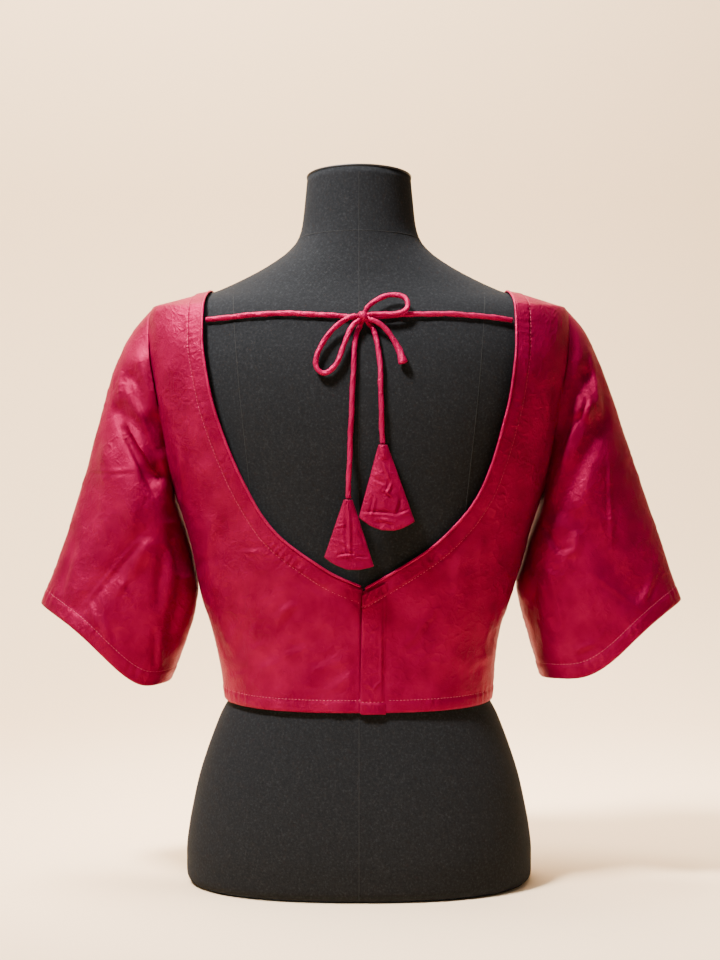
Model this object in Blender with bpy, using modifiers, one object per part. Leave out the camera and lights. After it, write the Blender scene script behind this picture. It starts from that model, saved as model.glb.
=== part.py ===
"""Choli blouse on a limbless dress form, at its real size.

Metres, +Z up. The origin is the middle of the form's flat base. The blouse's open back
faces -Y and its wearer's right side is +X, so "left" here is the wearer's left, at -X.

The form and the cloth are both superellipse sections, a row of a table for each height.
A place on such a surface is a turn (0 at the centre back, 1 at the side, 2 at the centre
front) and a height. Each panel is a grid of rows between two of its own edges.
"""
import math
from collections import namedtuple

import bpy
from mathutils import Vector

# Driving sizes
WALL = 0.0016            # the cloth, a stiffened wall
SEAM = 0.0003            # what is left open between two pieces at a seam
SEAM_ALLOWANCE = 1.2     # seams that each of two neighbours is drawn back by
ARMHOLE_ALLOWANCE = 1.5  # and that a sleeve's head stands off the armhole, in and out
HEM = 0.1785             # height of the blouse's hem at the centre back
PARTING = 0.0035         # how far right of the middle the two back panels part
PARTING_REACH = 0.030    # and how far from the middle the cloth moves with them
HEM_RISE = 0.006         # how much higher the hem is at the side seam
UNDERARM = 0.385         # height of the side seam's top
CORD = 0.0050            # diameter of the tie's fabric cord
PIPING = 0.0026          # diameter of the neckline's corded edge
WELD_DISTANCE = 0.00005  # points nearer than this are one
PIPING_START = 0.7       # its diameters between the parting and where it starts
PLACKET_WIDTH = 0.025    # the folded placket at the centre back
PLACKET_LAP = 0.0016     # how far it laps over the left panel
PLACKET_SLOPE = 0.50     # the slope of its top, as the neckline's there
PLACKET_DROP = 0.0018    # how far its top is below the neckline
PLACKET_BELOW = 0.0015   # how far its fold hangs below the hem
NECK_TILT = 0.165        # slope of the form's neck top, down to the front
NECK_FOOT = 0.640        # height from which the neck's rings start to lean
BASE_FILLET = 0.010      # rounding under the form's hips
CAP_THICKNESS = 0.0020
CAP_BEYOND = 1.012       # the cap's size, as a share of the neck's top
CAP_BEVEL = 0.010        # and what its two edges are less

# Grid sizes
SEAM_ROWS = 7            # rows of a panel up to the underarm
ARM_ROWS = 14            # rows from the underarm to the shoulder
BACK_NECK_ROWS = 16      # rows along the back neckline
FRONT_NECK_ROWS = 9      # rows along half the front neckline
COLUMNS = 10             # columns of a back panel, or of half the front
PLACKET_ROWS = 6
PLACKET_COLUMNS = 4
SLEEVE_ROWS = 18
FORM_SIDES = 40
TASSEL_ROWS = 6
TASSEL_SIDES = 16

Section = namedtuple("Section", "height half_width back front power")

FORM = [
    Section(0.0000, 0.1720, 0.1190, 0.1050, 2.35),
    Section(0.0320, 0.1722, 0.1205, 0.1060, 2.35),
    Section(0.0550, 0.1697, 0.1190, 0.1050, 2.35),
    Section(0.0780, 0.1655, 0.1160, 0.1035, 2.35),
    Section(0.1030, 0.1600, 0.1115, 0.1015, 2.35),
    Section(0.1260, 0.1530, 0.1065, 0.0995, 2.35),
    Section(0.1470, 0.1455, 0.1015, 0.0985, 2.35),
    Section(0.1680, 0.1370, 0.0966, 0.0975, 2.35),
    Section(0.1820, 0.1300, 0.0932, 0.0970, 2.35),
    Section(0.2050, 0.1280, 0.0895, 0.0975, 2.35),
    Section(0.2220, 0.1300, 0.0885, 0.0990, 2.35),
    Section(0.2400, 0.1350, 0.0885, 0.1010, 2.35),
    Section(0.2600, 0.1410, 0.0895, 0.1040, 2.35),
    Section(0.3000, 0.1530, 0.0940, 0.1100, 2.35),
    Section(0.3300, 0.1595, 0.0975, 0.1150, 2.35),
    Section(0.3600, 0.1650, 0.1005, 0.1170, 2.35),
    Section(0.4000, 0.1720, 0.1040, 0.1150, 2.40),
    Section(0.4300, 0.1785, 0.1060, 0.1110, 2.45),
    Section(0.4600, 0.1855, 0.1065, 0.1050, 2.50),
    Section(0.4900, 0.1915, 0.1050, 0.0980, 2.50),
    Section(0.5200, 0.1950, 0.1005, 0.0890, 2.50),
    Section(0.5400, 0.1955, 0.0950, 0.0810, 2.45),
    Section(0.5520, 0.1943, 0.0905, 0.0760, 2.40),
    Section(0.5600, 0.1922, 0.0870, 0.0725, 2.35),
    Section(0.5665, 0.1885, 0.0835, 0.0695, 2.30),
    Section(0.5715, 0.1840, 0.0806, 0.0672, 2.25),
    Section(0.5752, 0.1775, 0.0784, 0.0655, 2.20),
    Section(0.5783, 0.1680, 0.0766, 0.0643, 2.18),
    Section(0.5811, 0.1575, 0.0751, 0.0633, 2.15),
    Section(0.5840, 0.1475, 0.0735, 0.0623, 2.12),
    Section(0.5873, 0.1395, 0.0717, 0.0615, 2.10),
    Section(0.5975, 0.1170, 0.0670, 0.0598, 2.05),
    Section(0.6125, 0.0895, 0.0618, 0.0590, 2.00),
    Section(0.6260, 0.0707, 0.0576, 0.0590, 2.00),
    Section(0.6380, 0.0608, 0.0547, 0.0592, 2.00),
    Section(0.6506, 0.0568, 0.0518, 0.0595, 2.00),
    Section(0.6776, 0.0536, 0.0476, 0.0594, 2.00),
    Section(0.6985, 0.0516, 0.0452, 0.0586, 2.00),
]

CLOTH = [
    Section(0.1700, 0.1338, 0.0985, 0.1015, 2.45),
    Section(0.1820, 0.1345, 0.0972, 0.1015, 2.45),
    Section(0.2000, 0.1368, 0.0958, 0.1030, 2.45),
    Section(0.2200, 0.1395, 0.0952, 0.1055, 2.45),
    Section(0.2400, 0.1435, 0.0955, 0.1085, 2.45),
    Section(0.2600, 0.1495, 0.0962, 0.1115, 2.45),
    Section(0.2800, 0.1565, 0.0973, 0.1140, 2.45),
    Section(0.3000, 0.1610, 0.0985, 0.1165, 2.45),
    Section(0.3300, 0.1670, 0.1012, 0.1200, 2.45),
    Section(0.3600, 0.1750, 0.1040, 0.1215, 2.45),
    Section(0.3850, 0.1830, 0.1060, 0.1205, 2.50),
    Section(0.4200, 0.1935, 0.1088, 0.1165, 2.50),
    Section(0.4600, 0.2020, 0.1100, 0.1100, 2.55),
    Section(0.4900, 0.2075, 0.1085, 0.1025, 2.55),
    Section(0.5200, 0.2115, 0.1040, 0.0935, 2.55),
    Section(0.5400, 0.2120, 0.0985, 0.0855, 2.50),
    Section(0.5520, 0.2110, 0.0942, 0.0805, 2.45),
    Section(0.5620, 0.2090, 0.0900, 0.0765, 2.40),
    Section(0.5700, 0.2050, 0.0855, 0.0727, 2.35),
    Section(0.5740, 0.1925, 0.0833, 0.0709, 2.30),
    Section(0.5775, 0.1815, 0.0813, 0.0692, 2.27),
    Section(0.5808, 0.1700, 0.0794, 0.0677, 2.24),
    Section(0.5838, 0.1585, 0.0776, 0.0664, 2.20),
    Section(0.5864, 0.1480, 0.0761, 0.0653, 2.15),
    Section(0.5895, 0.1390, 0.0745, 0.0643, 2.10),
    Section(0.5948, 0.1270, 0.0716, 0.0629, 2.05),
]

# The two rounds of the bust, on the form and, bridged, in the cloth over it
Bust = namedtuple("Bust", "out height spread_x spread_z depth")
BUST_FADE = 2.2          # how fast it fades out towards the side
FORM_BUST = Bust(0.078, 0.380, 0.048, 0.052, 0.021)
CLOTH_BUST = Bust(0.076, 0.380, 0.056, 0.058, 0.0225)

EdgePoint = namedtuple("EdgePoint", "x z")
NECKLINE_BACK = {
    "left": [
        EdgePoint(0.0000, 0.2975), EdgePoint(0.0361, 0.3164), EdgePoint(0.0828, 0.3524),
        EdgePoint(0.1146, 0.4047), EdgePoint(0.1387, 0.4668), EdgePoint(0.1498, 0.5190),
        EdgePoint(0.1520, 0.5500), EdgePoint(0.1514, 0.5740), EdgePoint(0.1480, 0.5864),
    ],
    "right": [
        EdgePoint(0.0000, 0.2945), EdgePoint(0.0333, 0.3118), EdgePoint(0.0800, 0.3439),
        EdgePoint(0.1176, 0.3903), EdgePoint(0.1418, 0.4634), EdgePoint(0.1504, 0.5140),
        EdgePoint(0.1523, 0.5480), EdgePoint(0.1516, 0.5740), EdgePoint(0.1480, 0.5864),
    ],
}
NECKLINE_FRONT = [
    EdgePoint(0.0000, 0.4680), EdgePoint(0.0380, 0.4710), EdgePoint(0.0760, 0.4840),
    EdgePoint(0.1090, 0.5100), EdgePoint(0.1310, 0.5400), EdgePoint(0.1430, 0.5680),
    EdgePoint(0.1480, 0.5864),
]

# The right side seam is taken in a little above the waist
TakeIn = namedtuple("TakeIn", "height spread depth")
RIGHT_TAKE_IN = TakeIn(0.262, 0.062, 0.0060)

ArmholeRow = namedtuple("ArmholeRow", "height back_turn front_turn")
ARMHOLE = [
    ArmholeRow(0.3850, 1.000, 1.000),
    ArmholeRow(0.3930, 0.905, 1.100),
    ArmholeRow(0.4100, 0.845, 1.165),
    ArmholeRow(0.4400, 0.805, 1.210),
    ArmholeRow(0.4800, 0.790, 1.225),
    ArmholeRow(0.5150, 0.805, 1.205),
    ArmholeRow(0.5420, 0.840, 1.165),
    ArmholeRow(0.5600, 0.895, 1.105),
    ArmholeRow(0.5700, 1.000, 1.000),
]

# A sleeve's section: the fold on its outer side, the fold near the body, half its depth
Cuff = namedtuple("Cuff", "along outer_x outer_z inner_x inner_z depth tuck")
SLEEVES = {
    "left": [
        Cuff(0.00, 0.2060, 0.5700, 0.1845, 0.3850, 0.0430, 0.000),
        Cuff(0.15, 0.2250, 0.5480, 0.1815, 0.3700, 0.0500, 0.001),
        Cuff(0.30, 0.2425, 0.5140, 0.1757, 0.3530, 0.0540, 0.001),
        Cuff(0.50, 0.2640, 0.4396, 0.1676, 0.3230, 0.0560, 0.001),
        Cuff(0.70, 0.2825, 0.3760, 0.1626, 0.2880, 0.0560, 0.003),
        Cuff(0.85, 0.2990, 0.3270, 0.1727, 0.2480, 0.0550, 0.003),
        Cuff(1.00, 0.3180, 0.2756, 0.1887, 0.2095, 0.0540, 0.000),
    ],
    "right": [
        Cuff(0.00, 0.2060, 0.5700, 0.1845, 0.3850, 0.0430, 0.000),
        Cuff(0.15, 0.2240, 0.5490, 0.1812, 0.3700, 0.0500, 0.001),
        Cuff(0.30, 0.2405, 0.5150, 0.1752, 0.3530, 0.0540, 0.001),
        Cuff(0.50, 0.2670, 0.4396, 0.1660, 0.3230, 0.0560, 0.001),
        Cuff(0.70, 0.2895, 0.3740, 0.1612, 0.2880, 0.0560, 0.003),
        Cuff(0.85, 0.3065, 0.3250, 0.1709, 0.2480, 0.0550, 0.003),
        Cuff(1.00, 0.3220, 0.2796, 0.1820, 0.2095, 0.0540, 0.000),
    ],
}
OUTER_POWER = 1.55       # the outer side is a soft fold
INNER_POWER = 2.7        # the side near the body is blunt

ARMHOLE_REACH = 0.55     # the share of the sleeve that still follows the armhole's shape
FOLD_FADE = 0.030        # folds fade out where the sleeve is less deep than this

# How far the cuff's hem dips between its folds, where it is lowest (1 at the outer fold
# and -1 near the body), and how fast it rises towards each of them
Dip = namedtuple("Dip", "depth middle outward inward")
HEM_DIP = {"left": Dip(0.0235, -0.55, 0.66, 0.50), "right": Dip(0.0225, -0.32, 0.66, 0.60)}

# The largest folds: where one starts and ends, how wide and how deep it is
Fold = namedtuple("Fold", "x1 z1 x2 z2 width depth")
SLEEVE_FOLDS = {
    "left": [
        Fold(0.2190, 0.497, 0.1900, 0.432, 0.0095, 0.0075),
        Fold(0.2330, 0.466, 0.1980, 0.404, 0.0100, 0.0085),
        Fold(0.1980, 0.404, 0.1800, 0.368, 0.0100, 0.0070),
        Fold(0.2100, 0.512, 0.2050, 0.468, 0.0110, -0.0045),
        Fold(0.2120, 0.345, 0.2740, 0.272, 0.0100, 0.0035),
        Fold(0.2450, 0.420, 0.2050, 0.330, 0.0140, -0.0040),
    ],
    "right": [
        Fold(0.2200, 0.500, 0.1890, 0.432, 0.0095, 0.0080),
        Fold(0.2130, 0.454, 0.1810, 0.404, 0.0095, 0.0080),
        Fold(0.2350, 0.455, 0.1950, 0.372, 0.0110, 0.0050),
        Fold(0.2250, 0.474, 0.1980, 0.425, 0.0100, -0.0045),
        Fold(0.2150, 0.360, 0.2650, 0.290, 0.0120, 0.0035),
    ],
}

# The tie's route on the form's back: x, height, and the cord's lift off the form
Stop = namedtuple("Stop", "x z lift")
KNOT = Stop(0.0040, 0.5562, 0.0068)
KNOT_RADIUS = 0.0060
ROUTES = {
    "tie_strap_left": [
        Stop(-0.1478, 0.5545, 0.0030), Stop(-0.1300, 0.5563, 0.0029), Stop(-0.1050, 0.5585, 0.0029),
        Stop(-0.0801, 0.5600, 0.0029), Stop(-0.0550, 0.5594, 0.0029), Stop(-0.0300, 0.5580, 0.0029),
        Stop(-0.0120, 0.5565, 0.0029), Stop(-0.0026, 0.5562, 0.0029),
    ],
    "tie_strap_right": [
        Stop(0.1484, 0.5545, 0.0030), Stop(0.1300, 0.5565, 0.0029), Stop(0.1100, 0.5583, 0.0029),
        Stop(0.0891, 0.5593, 0.0029), Stop(0.0680, 0.5594, 0.0029), Stop(0.0478, 0.5588, 0.0029),
        Stop(0.0250, 0.5572, 0.0029), Stop(0.0106, 0.5562, 0.0029),
    ],
    "bow_loop_left": [
        Stop(-0.0027, 0.5574, 0.0088), Stop(-0.0092, 0.5554, 0.0088), Stop(-0.0170, 0.5504, 0.0085),
        Stop(-0.0267, 0.5415, 0.0070), Stop(-0.0353, 0.5296, 0.0055), Stop(-0.0401, 0.5178, 0.0048),
        Stop(-0.0400, 0.5080, 0.0046), Stop(-0.0355, 0.5030, 0.0046), Stop(-0.0300, 0.5030, 0.0046),
        Stop(-0.0246, 0.5070, 0.0048), Stop(-0.0197, 0.5140, 0.0052), Stop(-0.0149, 0.5277, 0.0062),
        Stop(-0.0098, 0.5404, 0.0080), Stop(-0.0046, 0.5490, 0.0088), Stop(-0.0011, 0.5519, 0.0088),
    ],
    "bow_loop_right": [
        Stop(0.0066, 0.5625, 0.0090), Stop(0.0103, 0.5672, 0.0090), Stop(0.0182, 0.5732, 0.0090),
        Stop(0.0269, 0.5770, 0.0090), Stop(0.0368, 0.5774, 0.0088), Stop(0.0437, 0.5745, 0.0088),
        Stop(0.0464, 0.5695, 0.0088), Stop(0.0455, 0.5640, 0.0088), Stop(0.0405, 0.5606, 0.0088),
        Stop(0.0317, 0.5588, 0.0089), Stop(0.0220, 0.5590, 0.0090), Stop(0.0103, 0.5585, 0.0090),
    ],
    "tie_tail_left": [
        Stop(0.0016, 0.5486, 0.0029), Stop(-0.0014, 0.5425, 0.0030), Stop(-0.0036, 0.5330, 0.0031),
        Stop(-0.0047, 0.5160, 0.0031), Stop(-0.0056, 0.4960, 0.0031), Stop(-0.0066, 0.4742, 0.0031),
        Stop(-0.0074, 0.4560, 0.0031), Stop(-0.0081, 0.4400, 0.0034), Stop(-0.0088, 0.4200, 0.0048),
        Stop(-0.0096, 0.4020, 0.0068), Stop(-0.0102, 0.3833, 0.0088),
    ],
    "tie_tail_right": [
        Stop(0.0083, 0.5510, 0.0029), Stop(0.0130, 0.5450, 0.0031), Stop(0.0164, 0.5360, 0.0031),
        Stop(0.0186, 0.5230, 0.0031), Stop(0.0203, 0.5060, 0.0031), Stop(0.0208, 0.4860, 0.0031),
        Stop(0.0212, 0.4680, 0.0031), Stop(0.0217, 0.4500, 0.0033), Stop(0.0226, 0.4352, 0.0040),
    ],
    "tie_tail_short": [
        Stop(0.0101, 0.5533, 0.0090), Stop(0.0178, 0.5505, 0.0086), Stop(0.0248, 0.5450, 0.0070),
        Stop(0.0316, 0.5362, 0.0052), Stop(0.0376, 0.5247, 0.0042), Stop(0.0422, 0.5115, 0.0040),
    ],
}
SHORT_TAIL_FLARE = 1.7   # the bare end is opened out to this many times the cord

# A folded triangle of cloth: its top, its lower corners and the arc between them
Tassel = namedtuple("Tassel", "x z left_x left_z right_x right_z sag y thickness")
TASSELS = {
    "tassel_left": Tassel(-0.0102, 0.3828, -0.0328, 0.3285, 0.0140, 0.3205, 0.0075, -0.1135, 0.0090),
    "tassel_right": Tassel(0.0226, 0.4347, -0.0002, 0.3660, 0.0527, 0.3626, 0.0105, -0.1130, 0.0090),
}
TASSEL_NECK = 0.0042     # half the width of a tassel's top
TASSEL_TOP = 0.0024      # and half its depth there
TASSEL_EDGE = 1.3        # above 1, its side edges are sharper than an ellipse's


# Surfaces

def smooth_column(rows, name, value):
    """A column of a table at a height, by a cubic that never overshoots its rows."""
    keys = [row[0] for row in rows]
    values = [getattr(row, name) for row in rows]
    value = min(max(value, keys[0]), keys[-1])
    i = max(1, next(k for k in range(1, len(keys)) if value <= keys[k]))
    slopes = [(values[k + 1] - values[k]) / (keys[k + 1] - keys[k]) for k in range(len(keys) - 1)]

    def tangent(k):
        if k == 0 or k == len(keys) - 1:
            return slopes[min(k, len(slopes) - 1)]
        before, after = slopes[k - 1], slopes[k]
        if before * after <= 0.0:
            return 0.0
        return 2.0 * before * after / (before + after)

    span = keys[i] - keys[i - 1]
    t = (value - keys[i - 1]) / span
    rise = 3.0 * t * t - 2.0 * t ** 3
    start = (t ** 3 - 2.0 * t * t + t) * tangent(i - 1) * span
    end = (t ** 3 - t * t) * tangent(i) * span
    return values[i - 1] * (1.0 - rise) + values[i] * rise + start + end


def section_at(table, height):
    columns = [smooth_column(table, name, height) for name in Section._fields[1:]]
    return Section(height, *columns)


def bust_depth(bust, x, height):
    across = (abs(x) - bust.out) / bust.spread_x
    up = (height - bust.height) / bust.spread_z
    return bust.depth * math.exp(-across ** 2 - up ** 2)


def torso_point(table, bust, side, turn, height):
    """The place on a torso surface at a turn and a height, on one side (-1 or 1)."""
    row = section_at(table, height)
    angle = turn * math.pi / 2.0
    x = row.half_width * abs(math.sin(angle)) ** (2.0 / row.power)
    across = abs(math.cos(angle)) ** (2.0 / row.power)
    if turn <= 1.0:
        return Vector((side * x, -row.back * across, height))
    bulge = bust_depth(bust, x, height) * min(1.0, BUST_FADE * across)
    forward = row.front * across + bulge
    return Vector((side * x, forward, height))


def cloth_point(side, turn, height):
    point = torso_point(CLOTH, CLOTH_BUST, side, turn, height)
    if side > 0:
        taken = RIGHT_TAKE_IN
        near = math.exp(-((height - taken.height) / taken.spread) ** 2)
        point.x -= taken.depth * near * math.sin(turn * math.pi / 2.0) ** 4
    return point


def form_point(side, turn, height):
    return torso_point(FORM, FORM_BUST, side, turn, height)


def turn_of(table, x, height, front):
    """The turn at which a torso section is x from the middle."""
    row = section_at(table, height)
    share = min(1.0, abs(x) / row.half_width) ** (row.power / 2.0)
    back_turn = math.asin(share) * 2.0 / math.pi
    return 2.0 - back_turn if front else back_turn


def parted(point):
    """A place of a back panel, moved round with the parting if it is near it."""
    near = 1.0 - abs(point.x) / PARTING_REACH
    if near <= 0.0:
        return point
    x = point.x + PARTING * near ** 2
    return cloth_point(1 if x > 0.0 else -1, turn_of(CLOTH, x, point.z, False), point.z)


def cloth_normal(side, turn, height):
    """The outward direction of the cloth there."""
    step = 0.01
    low, high = max(0.0, turn - step), min(2.0, turn + step)
    around = cloth_point(side, high, height) - cloth_point(side, low, height)
    up = cloth_point(side, turn, height + 0.001) - cloth_point(side, turn, height - 0.001)
    normal = around.cross(up).normalized()
    outward = cloth_point(side, turn, height)
    if normal.x * outward.x + normal.y * outward.y < 0.0:
        normal.negate()
    return normal


def form_back(x, z, lift):
    """A place lifted off the form's back, where x and z are as seen from behind."""
    turn = turn_of(FORM, x, z, False)
    here = form_point(1 if x >= 0 else -1, turn, z)
    above = form_point(1 if x >= 0 else -1, turn_of(FORM, x, z + 0.002, False), z + 0.002)
    beside = form_point(1 if x >= 0 else -1, turn_of(FORM, abs(x) + 0.002, z, False), z)
    slope_z = (above.y - here.y) / 0.002
    slope_x = (beside.y - here.y) / 0.002
    return Vector((x, here.y - lift * math.sqrt(1.0 + slope_z ** 2 + slope_x ** 2), z))


# Curves

def spline(points, count):
    """Points at even distances along a smooth curve through the given ones."""
    ends = [points[0] * 2 - points[1]] + points + [points[-1] * 2 - points[-2]]
    fine = []
    for i in range(1, len(ends) - 2):
        a, b, c, d = ends[i - 1:i + 3]
        for k in range(24):
            t = k / 24
            fine.append(0.5 * (2 * b + (c - a) * t + (2 * a - 5 * b + 4 * c - d) * t * t
                               + (3 * b - a - 3 * c + d) * t ** 3))
    fine.append(points[-1].copy())
    return even(fine, count)


def even(points, count):
    """The same line with its points at even distances."""
    reach = [0.0]
    for before, after in zip(points, points[1:]):
        reach.append(reach[-1] + (after - before).length)
    result = []
    k = 0
    for i in range(count):
        goal = reach[-1] * i / (count - 1)
        while k < len(points) - 2 and reach[k + 1] < goal:
            k += 1
        share = (goal - reach[k]) / max(reach[k + 1] - reach[k], 1e-9)
        result.append(points[k].lerp(points[k + 1], share))
    return result


def neckline(side, front):
    """The neckline from its middle to the shoulder, as turns and heights."""
    table = NECKLINE_FRONT if front else NECKLINE_BACK["right" if side > 0 else "left"]
    rows = FRONT_NECK_ROWS if front else BACK_NECK_ROWS
    fine = spline([Vector((p.x, p.z)) for p in table], 120)
    solid = [cloth_point(-1, turn_of(CLOTH, p.x, p.y, front), p.y) for p in fine]
    picked = even(solid, rows + 1)
    return [Vector((turn_of(CLOTH, p.x, p.z, front), p.z)) for p in picked]


def hem_height(turn):
    across = turn if turn <= 1.0 else 2.0 - turn
    return HEM + HEM_RISE * across ** 2


def armhole(front):
    """The armhole from the underarm to the shoulder, as turns and heights."""
    name = "front_turn" if front else "back_turn"
    marks = [Vector((getattr(row, name), row.height)) for row in ARMHOLE]
    fine = spline(marks, 160)
    solid = [cloth_point(1, t.x, t.y) for t in fine]
    reach = [0.0]
    for before, after in zip(solid, solid[1:]):
        reach.append(reach[-1] + (after - before).length)
    result = []
    for i in range(ARM_ROWS + 1):
        goal = reach[-1] * i / ARM_ROWS
        k = max(0, next(n for n in range(1, len(reach)) if reach[n] >= goal - 1e-9) - 1)
        share = (goal - reach[k]) / (reach[k + 1] - reach[k])
        result.append(fine[k].lerp(fine[k + 1], share))
    result[0] = Vector((1.0, UNDERARM))
    return result


def side_edge(front):
    """The side seam, then the armhole."""
    low = hem_height(1.0)
    seam = [Vector((1.0, low + (UNDERARM - low) * i / SEAM_ROWS)) for i in range(SEAM_ROWS)]
    return seam + armhole(front)


def middle_edge(side, front):
    """The centre line up to the neckline, then the neckline to the shoulder."""
    edge = neckline(side, front)
    rows = SEAM_ROWS + ARM_ROWS + 1 - len(edge)
    turn = 2.0 if front else 0.0
    centre = [Vector((turn, HEM + (edge[0].y - HEM) * i / rows)) for i in range(rows)]
    return centre + edge


# Solids

def material(name, colour, roughness):
    made = bpy.data.materials.new(name)
    made.use_nodes = True
    shader = made.node_tree.nodes["Principled BSDF"]
    shader.inputs["Base Color"].default_value = (*colour, 1.0)
    shader.inputs["Roughness"].default_value = roughness
    return made


def add_object(name, data, finish):
    data.materials.append(finish)
    made = bpy.data.objects.new(name, data)
    bpy.data.collections["choli_blouse"].objects.link(made)
    return made


def skin(rows, closed):
    """Vertices and faces of a surface through rows of points."""
    wide = len(rows[0])
    verts = [point for row in rows for point in row]
    steps = wide if closed else wide - 1
    faces = []
    for r in range(len(rows) - 1):
        for c in range(steps):
            d = (c + 1) % wide
            faces.append((r * wide + c, r * wide + d, (r + 1) * wide + d, (r + 1) * wide + c))
    return verts, faces


def cloth_wall(name, grids, closed, finish, outward):
    """A wall of cloth whose outer side is the given grids, welded where they meet."""
    verts, faces = [], []
    for rows in grids:
        points, quads = skin(rows, closed)
        middle = quads[len(quads) // 2]
        start = points[middle[0]]
        normal = (points[middle[1]] - start).cross(points[middle[2]] - start)
        if normal.dot(outward(start)) < 0.0:
            quads = [tuple(reversed(quad)) for quad in quads]
        faces += [tuple(len(verts) + i for i in quad) for quad in quads]
        verts += points
    mesh = bpy.data.meshes.new(name)
    mesh.from_pydata(verts, [], faces)
    mesh.shade_smooth()
    made = add_object(name, mesh, finish)
    if len(grids) > 1:
        weld = made.modifiers.new("weld the halves", "WELD")
        weld.merge_threshold = WELD_DISTANCE
    wall = made.modifiers.new("wall", "SOLIDIFY")
    wall.thickness = WALL
    wall.offset = -1.0
    return made


def closed_loft(name, rows, finish):
    """A closed body through rings of points, with a flat cap at each end."""
    verts, faces = skin(rows, True)
    wide = len(rows[0])
    faces.append(tuple(reversed(range(wide))))
    faces.append(tuple(range(len(verts) - wide, len(verts))))
    mesh = bpy.data.meshes.new(name)
    mesh.from_pydata(verts, [], faces)
    mesh.shade_smooth()
    return add_object(name, mesh, finish)


def tube(name, points, diameter, finish, resolution=2, radii=None):
    curve = bpy.data.curves.new(name, "CURVE")
    curve.dimensions = "3D"
    curve.bevel_depth = diameter / 2.0
    curve.bevel_resolution = resolution
    curve.use_fill_caps = True
    line = curve.splines.new("POLY")
    line.points.add(len(points) - 1)
    for i, point in enumerate(points):
        line.points[i].co = (*point, 1.0)
        line.points[i].radius = radii[i] if radii else 1.0
    return add_object(name, curve, finish)


def away_from_axis(point):
    return Vector((point.x, point.y, 0.0))


def away_from_middle_plane(point):
    return Vector((0.0, point.y, 0.0))


# The dress form

def form_ring(height):
    row = section_at(FORM, height)
    inset = 0.0
    if height < BASE_FILLET:
        inset = BASE_FILLET - math.sqrt(BASE_FILLET ** 2 - (BASE_FILLET - height) ** 2)
    ring = []
    for i in range(FORM_SIDES):
        turn = 4.0 * i / FORM_SIDES
        side = 1 if turn <= 2.0 else -1
        point = form_point(side, turn if turn <= 2.0 else 4.0 - turn, height)
        shrink = 1.0 - inset / row.half_width
        tilt = NECK_TILT * min(max((height - NECK_FOOT) / (FORM[-1].height - NECK_FOOT), 0.0), 1.0)
        point.x *= shrink
        point.y *= shrink
        point.z -= tilt * point.y
        ring.append(point)
    return ring


def build_form(finish, cap_finish):
    rounding = [BASE_FILLET * share for share in (0.0, 0.12, 0.35, 0.65, 1.0)]
    heights = rounding + [row.height for row in FORM[1:]]
    rings = [form_ring(h) for h in heights]
    closed_loft("dress_form", rings, finish)
    top = rings[-1]
    middle = sum(top, Vector()) / len(top)
    up = Vector((0.0, NECK_TILT, 1.0)).normalized()

    def cap_ring(rise, scale):
        return [middle + (p - middle) * scale + up * (SEAM + rise) for p in top]

    edge = CAP_THICKNESS / 4.0
    rows = [cap_ring(0.0, CAP_BEYOND - CAP_BEVEL), cap_ring(edge, CAP_BEYOND),
            cap_ring(CAP_THICKNESS - edge, CAP_BEYOND), cap_ring(CAP_THICKNESS, CAP_BEYOND - CAP_BEVEL)]
    closed_loft("neck_cap", rows, cap_finish)


# Panels

def panel_rows(side, front):
    """Rows of points from the hem to the shoulder, from the middle edge to the side edge."""
    middle, outer = middle_edge(side, front), side_edge(front)
    rows = []
    for r, (inside, outside) in enumerate(zip(middle, outer)):
        row = []
        for c in range(COLUMNS + 1):
            place = inside.lerp(outside, c / COLUMNS)
            height = hem_height(place.x) if r == 0 else place.y
            point = cloth_point(side, place.x, height)
            row.append(point if front else parted(point))
        rows.append(row)
    return rows


def pull_in(rows, sides):
    """Draws a panel's edges in, by more than half a seam because seams curve."""
    half = SEAM * SEAM_ALLOWANCE
    if "start" in sides:
        for row in rows:
            row[0] = row[0] + (row[1] - row[0]).normalized() * half
    if "end" in sides:
        for row in rows:
            row[-1] = row[-1] + (row[-2] - row[-1]).normalized() * half
    if "top" in sides:
        for c, point in enumerate(rows[-1]):
            rows[-1][c] = point + (rows[-2][c] - point).normalized() * half
    return rows


def build_panels(finish):
    for side, name in ((-1, "back_panel_left"), (1, "back_panel_right")):
        rows = pull_in(panel_rows(side, False), ("start", "end", "top"))
        cloth_wall(name, [rows], False, finish, away_from_axis)
    halves = [pull_in(panel_rows(side, True), ("end", "top")) for side in (-1, 1)]
    cloth_wall("front_panel", halves, False, finish, away_from_axis)


def build_placket(finish):
    """The fold that laps over the left panel, on the outside of the right one."""
    raised = WALL + SEAM
    corner, low = NECKLINE_BACK["right"][0].z - PLACKET_DROP, HEM - PLACKET_BELOW
    rows = []
    for r in range(PLACKET_ROWS + 1):
        row = []
        for c in range(PLACKET_COLUMNS + 1):
            x = PARTING - PLACKET_LAP + PLACKET_WIDTH * c / PLACKET_COLUMNS
            neck = corner + PLACKET_SLOPE * x
            z = low + (neck - low) * r / PLACKET_ROWS
            turn = turn_of(CLOTH, x, z, False)
            row.append(cloth_point(1, turn, z) + cloth_normal(1, turn, z) * raised)
        rows.append(row)
    cloth_wall("placket_right", [rows], False, finish, away_from_axis)


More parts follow.
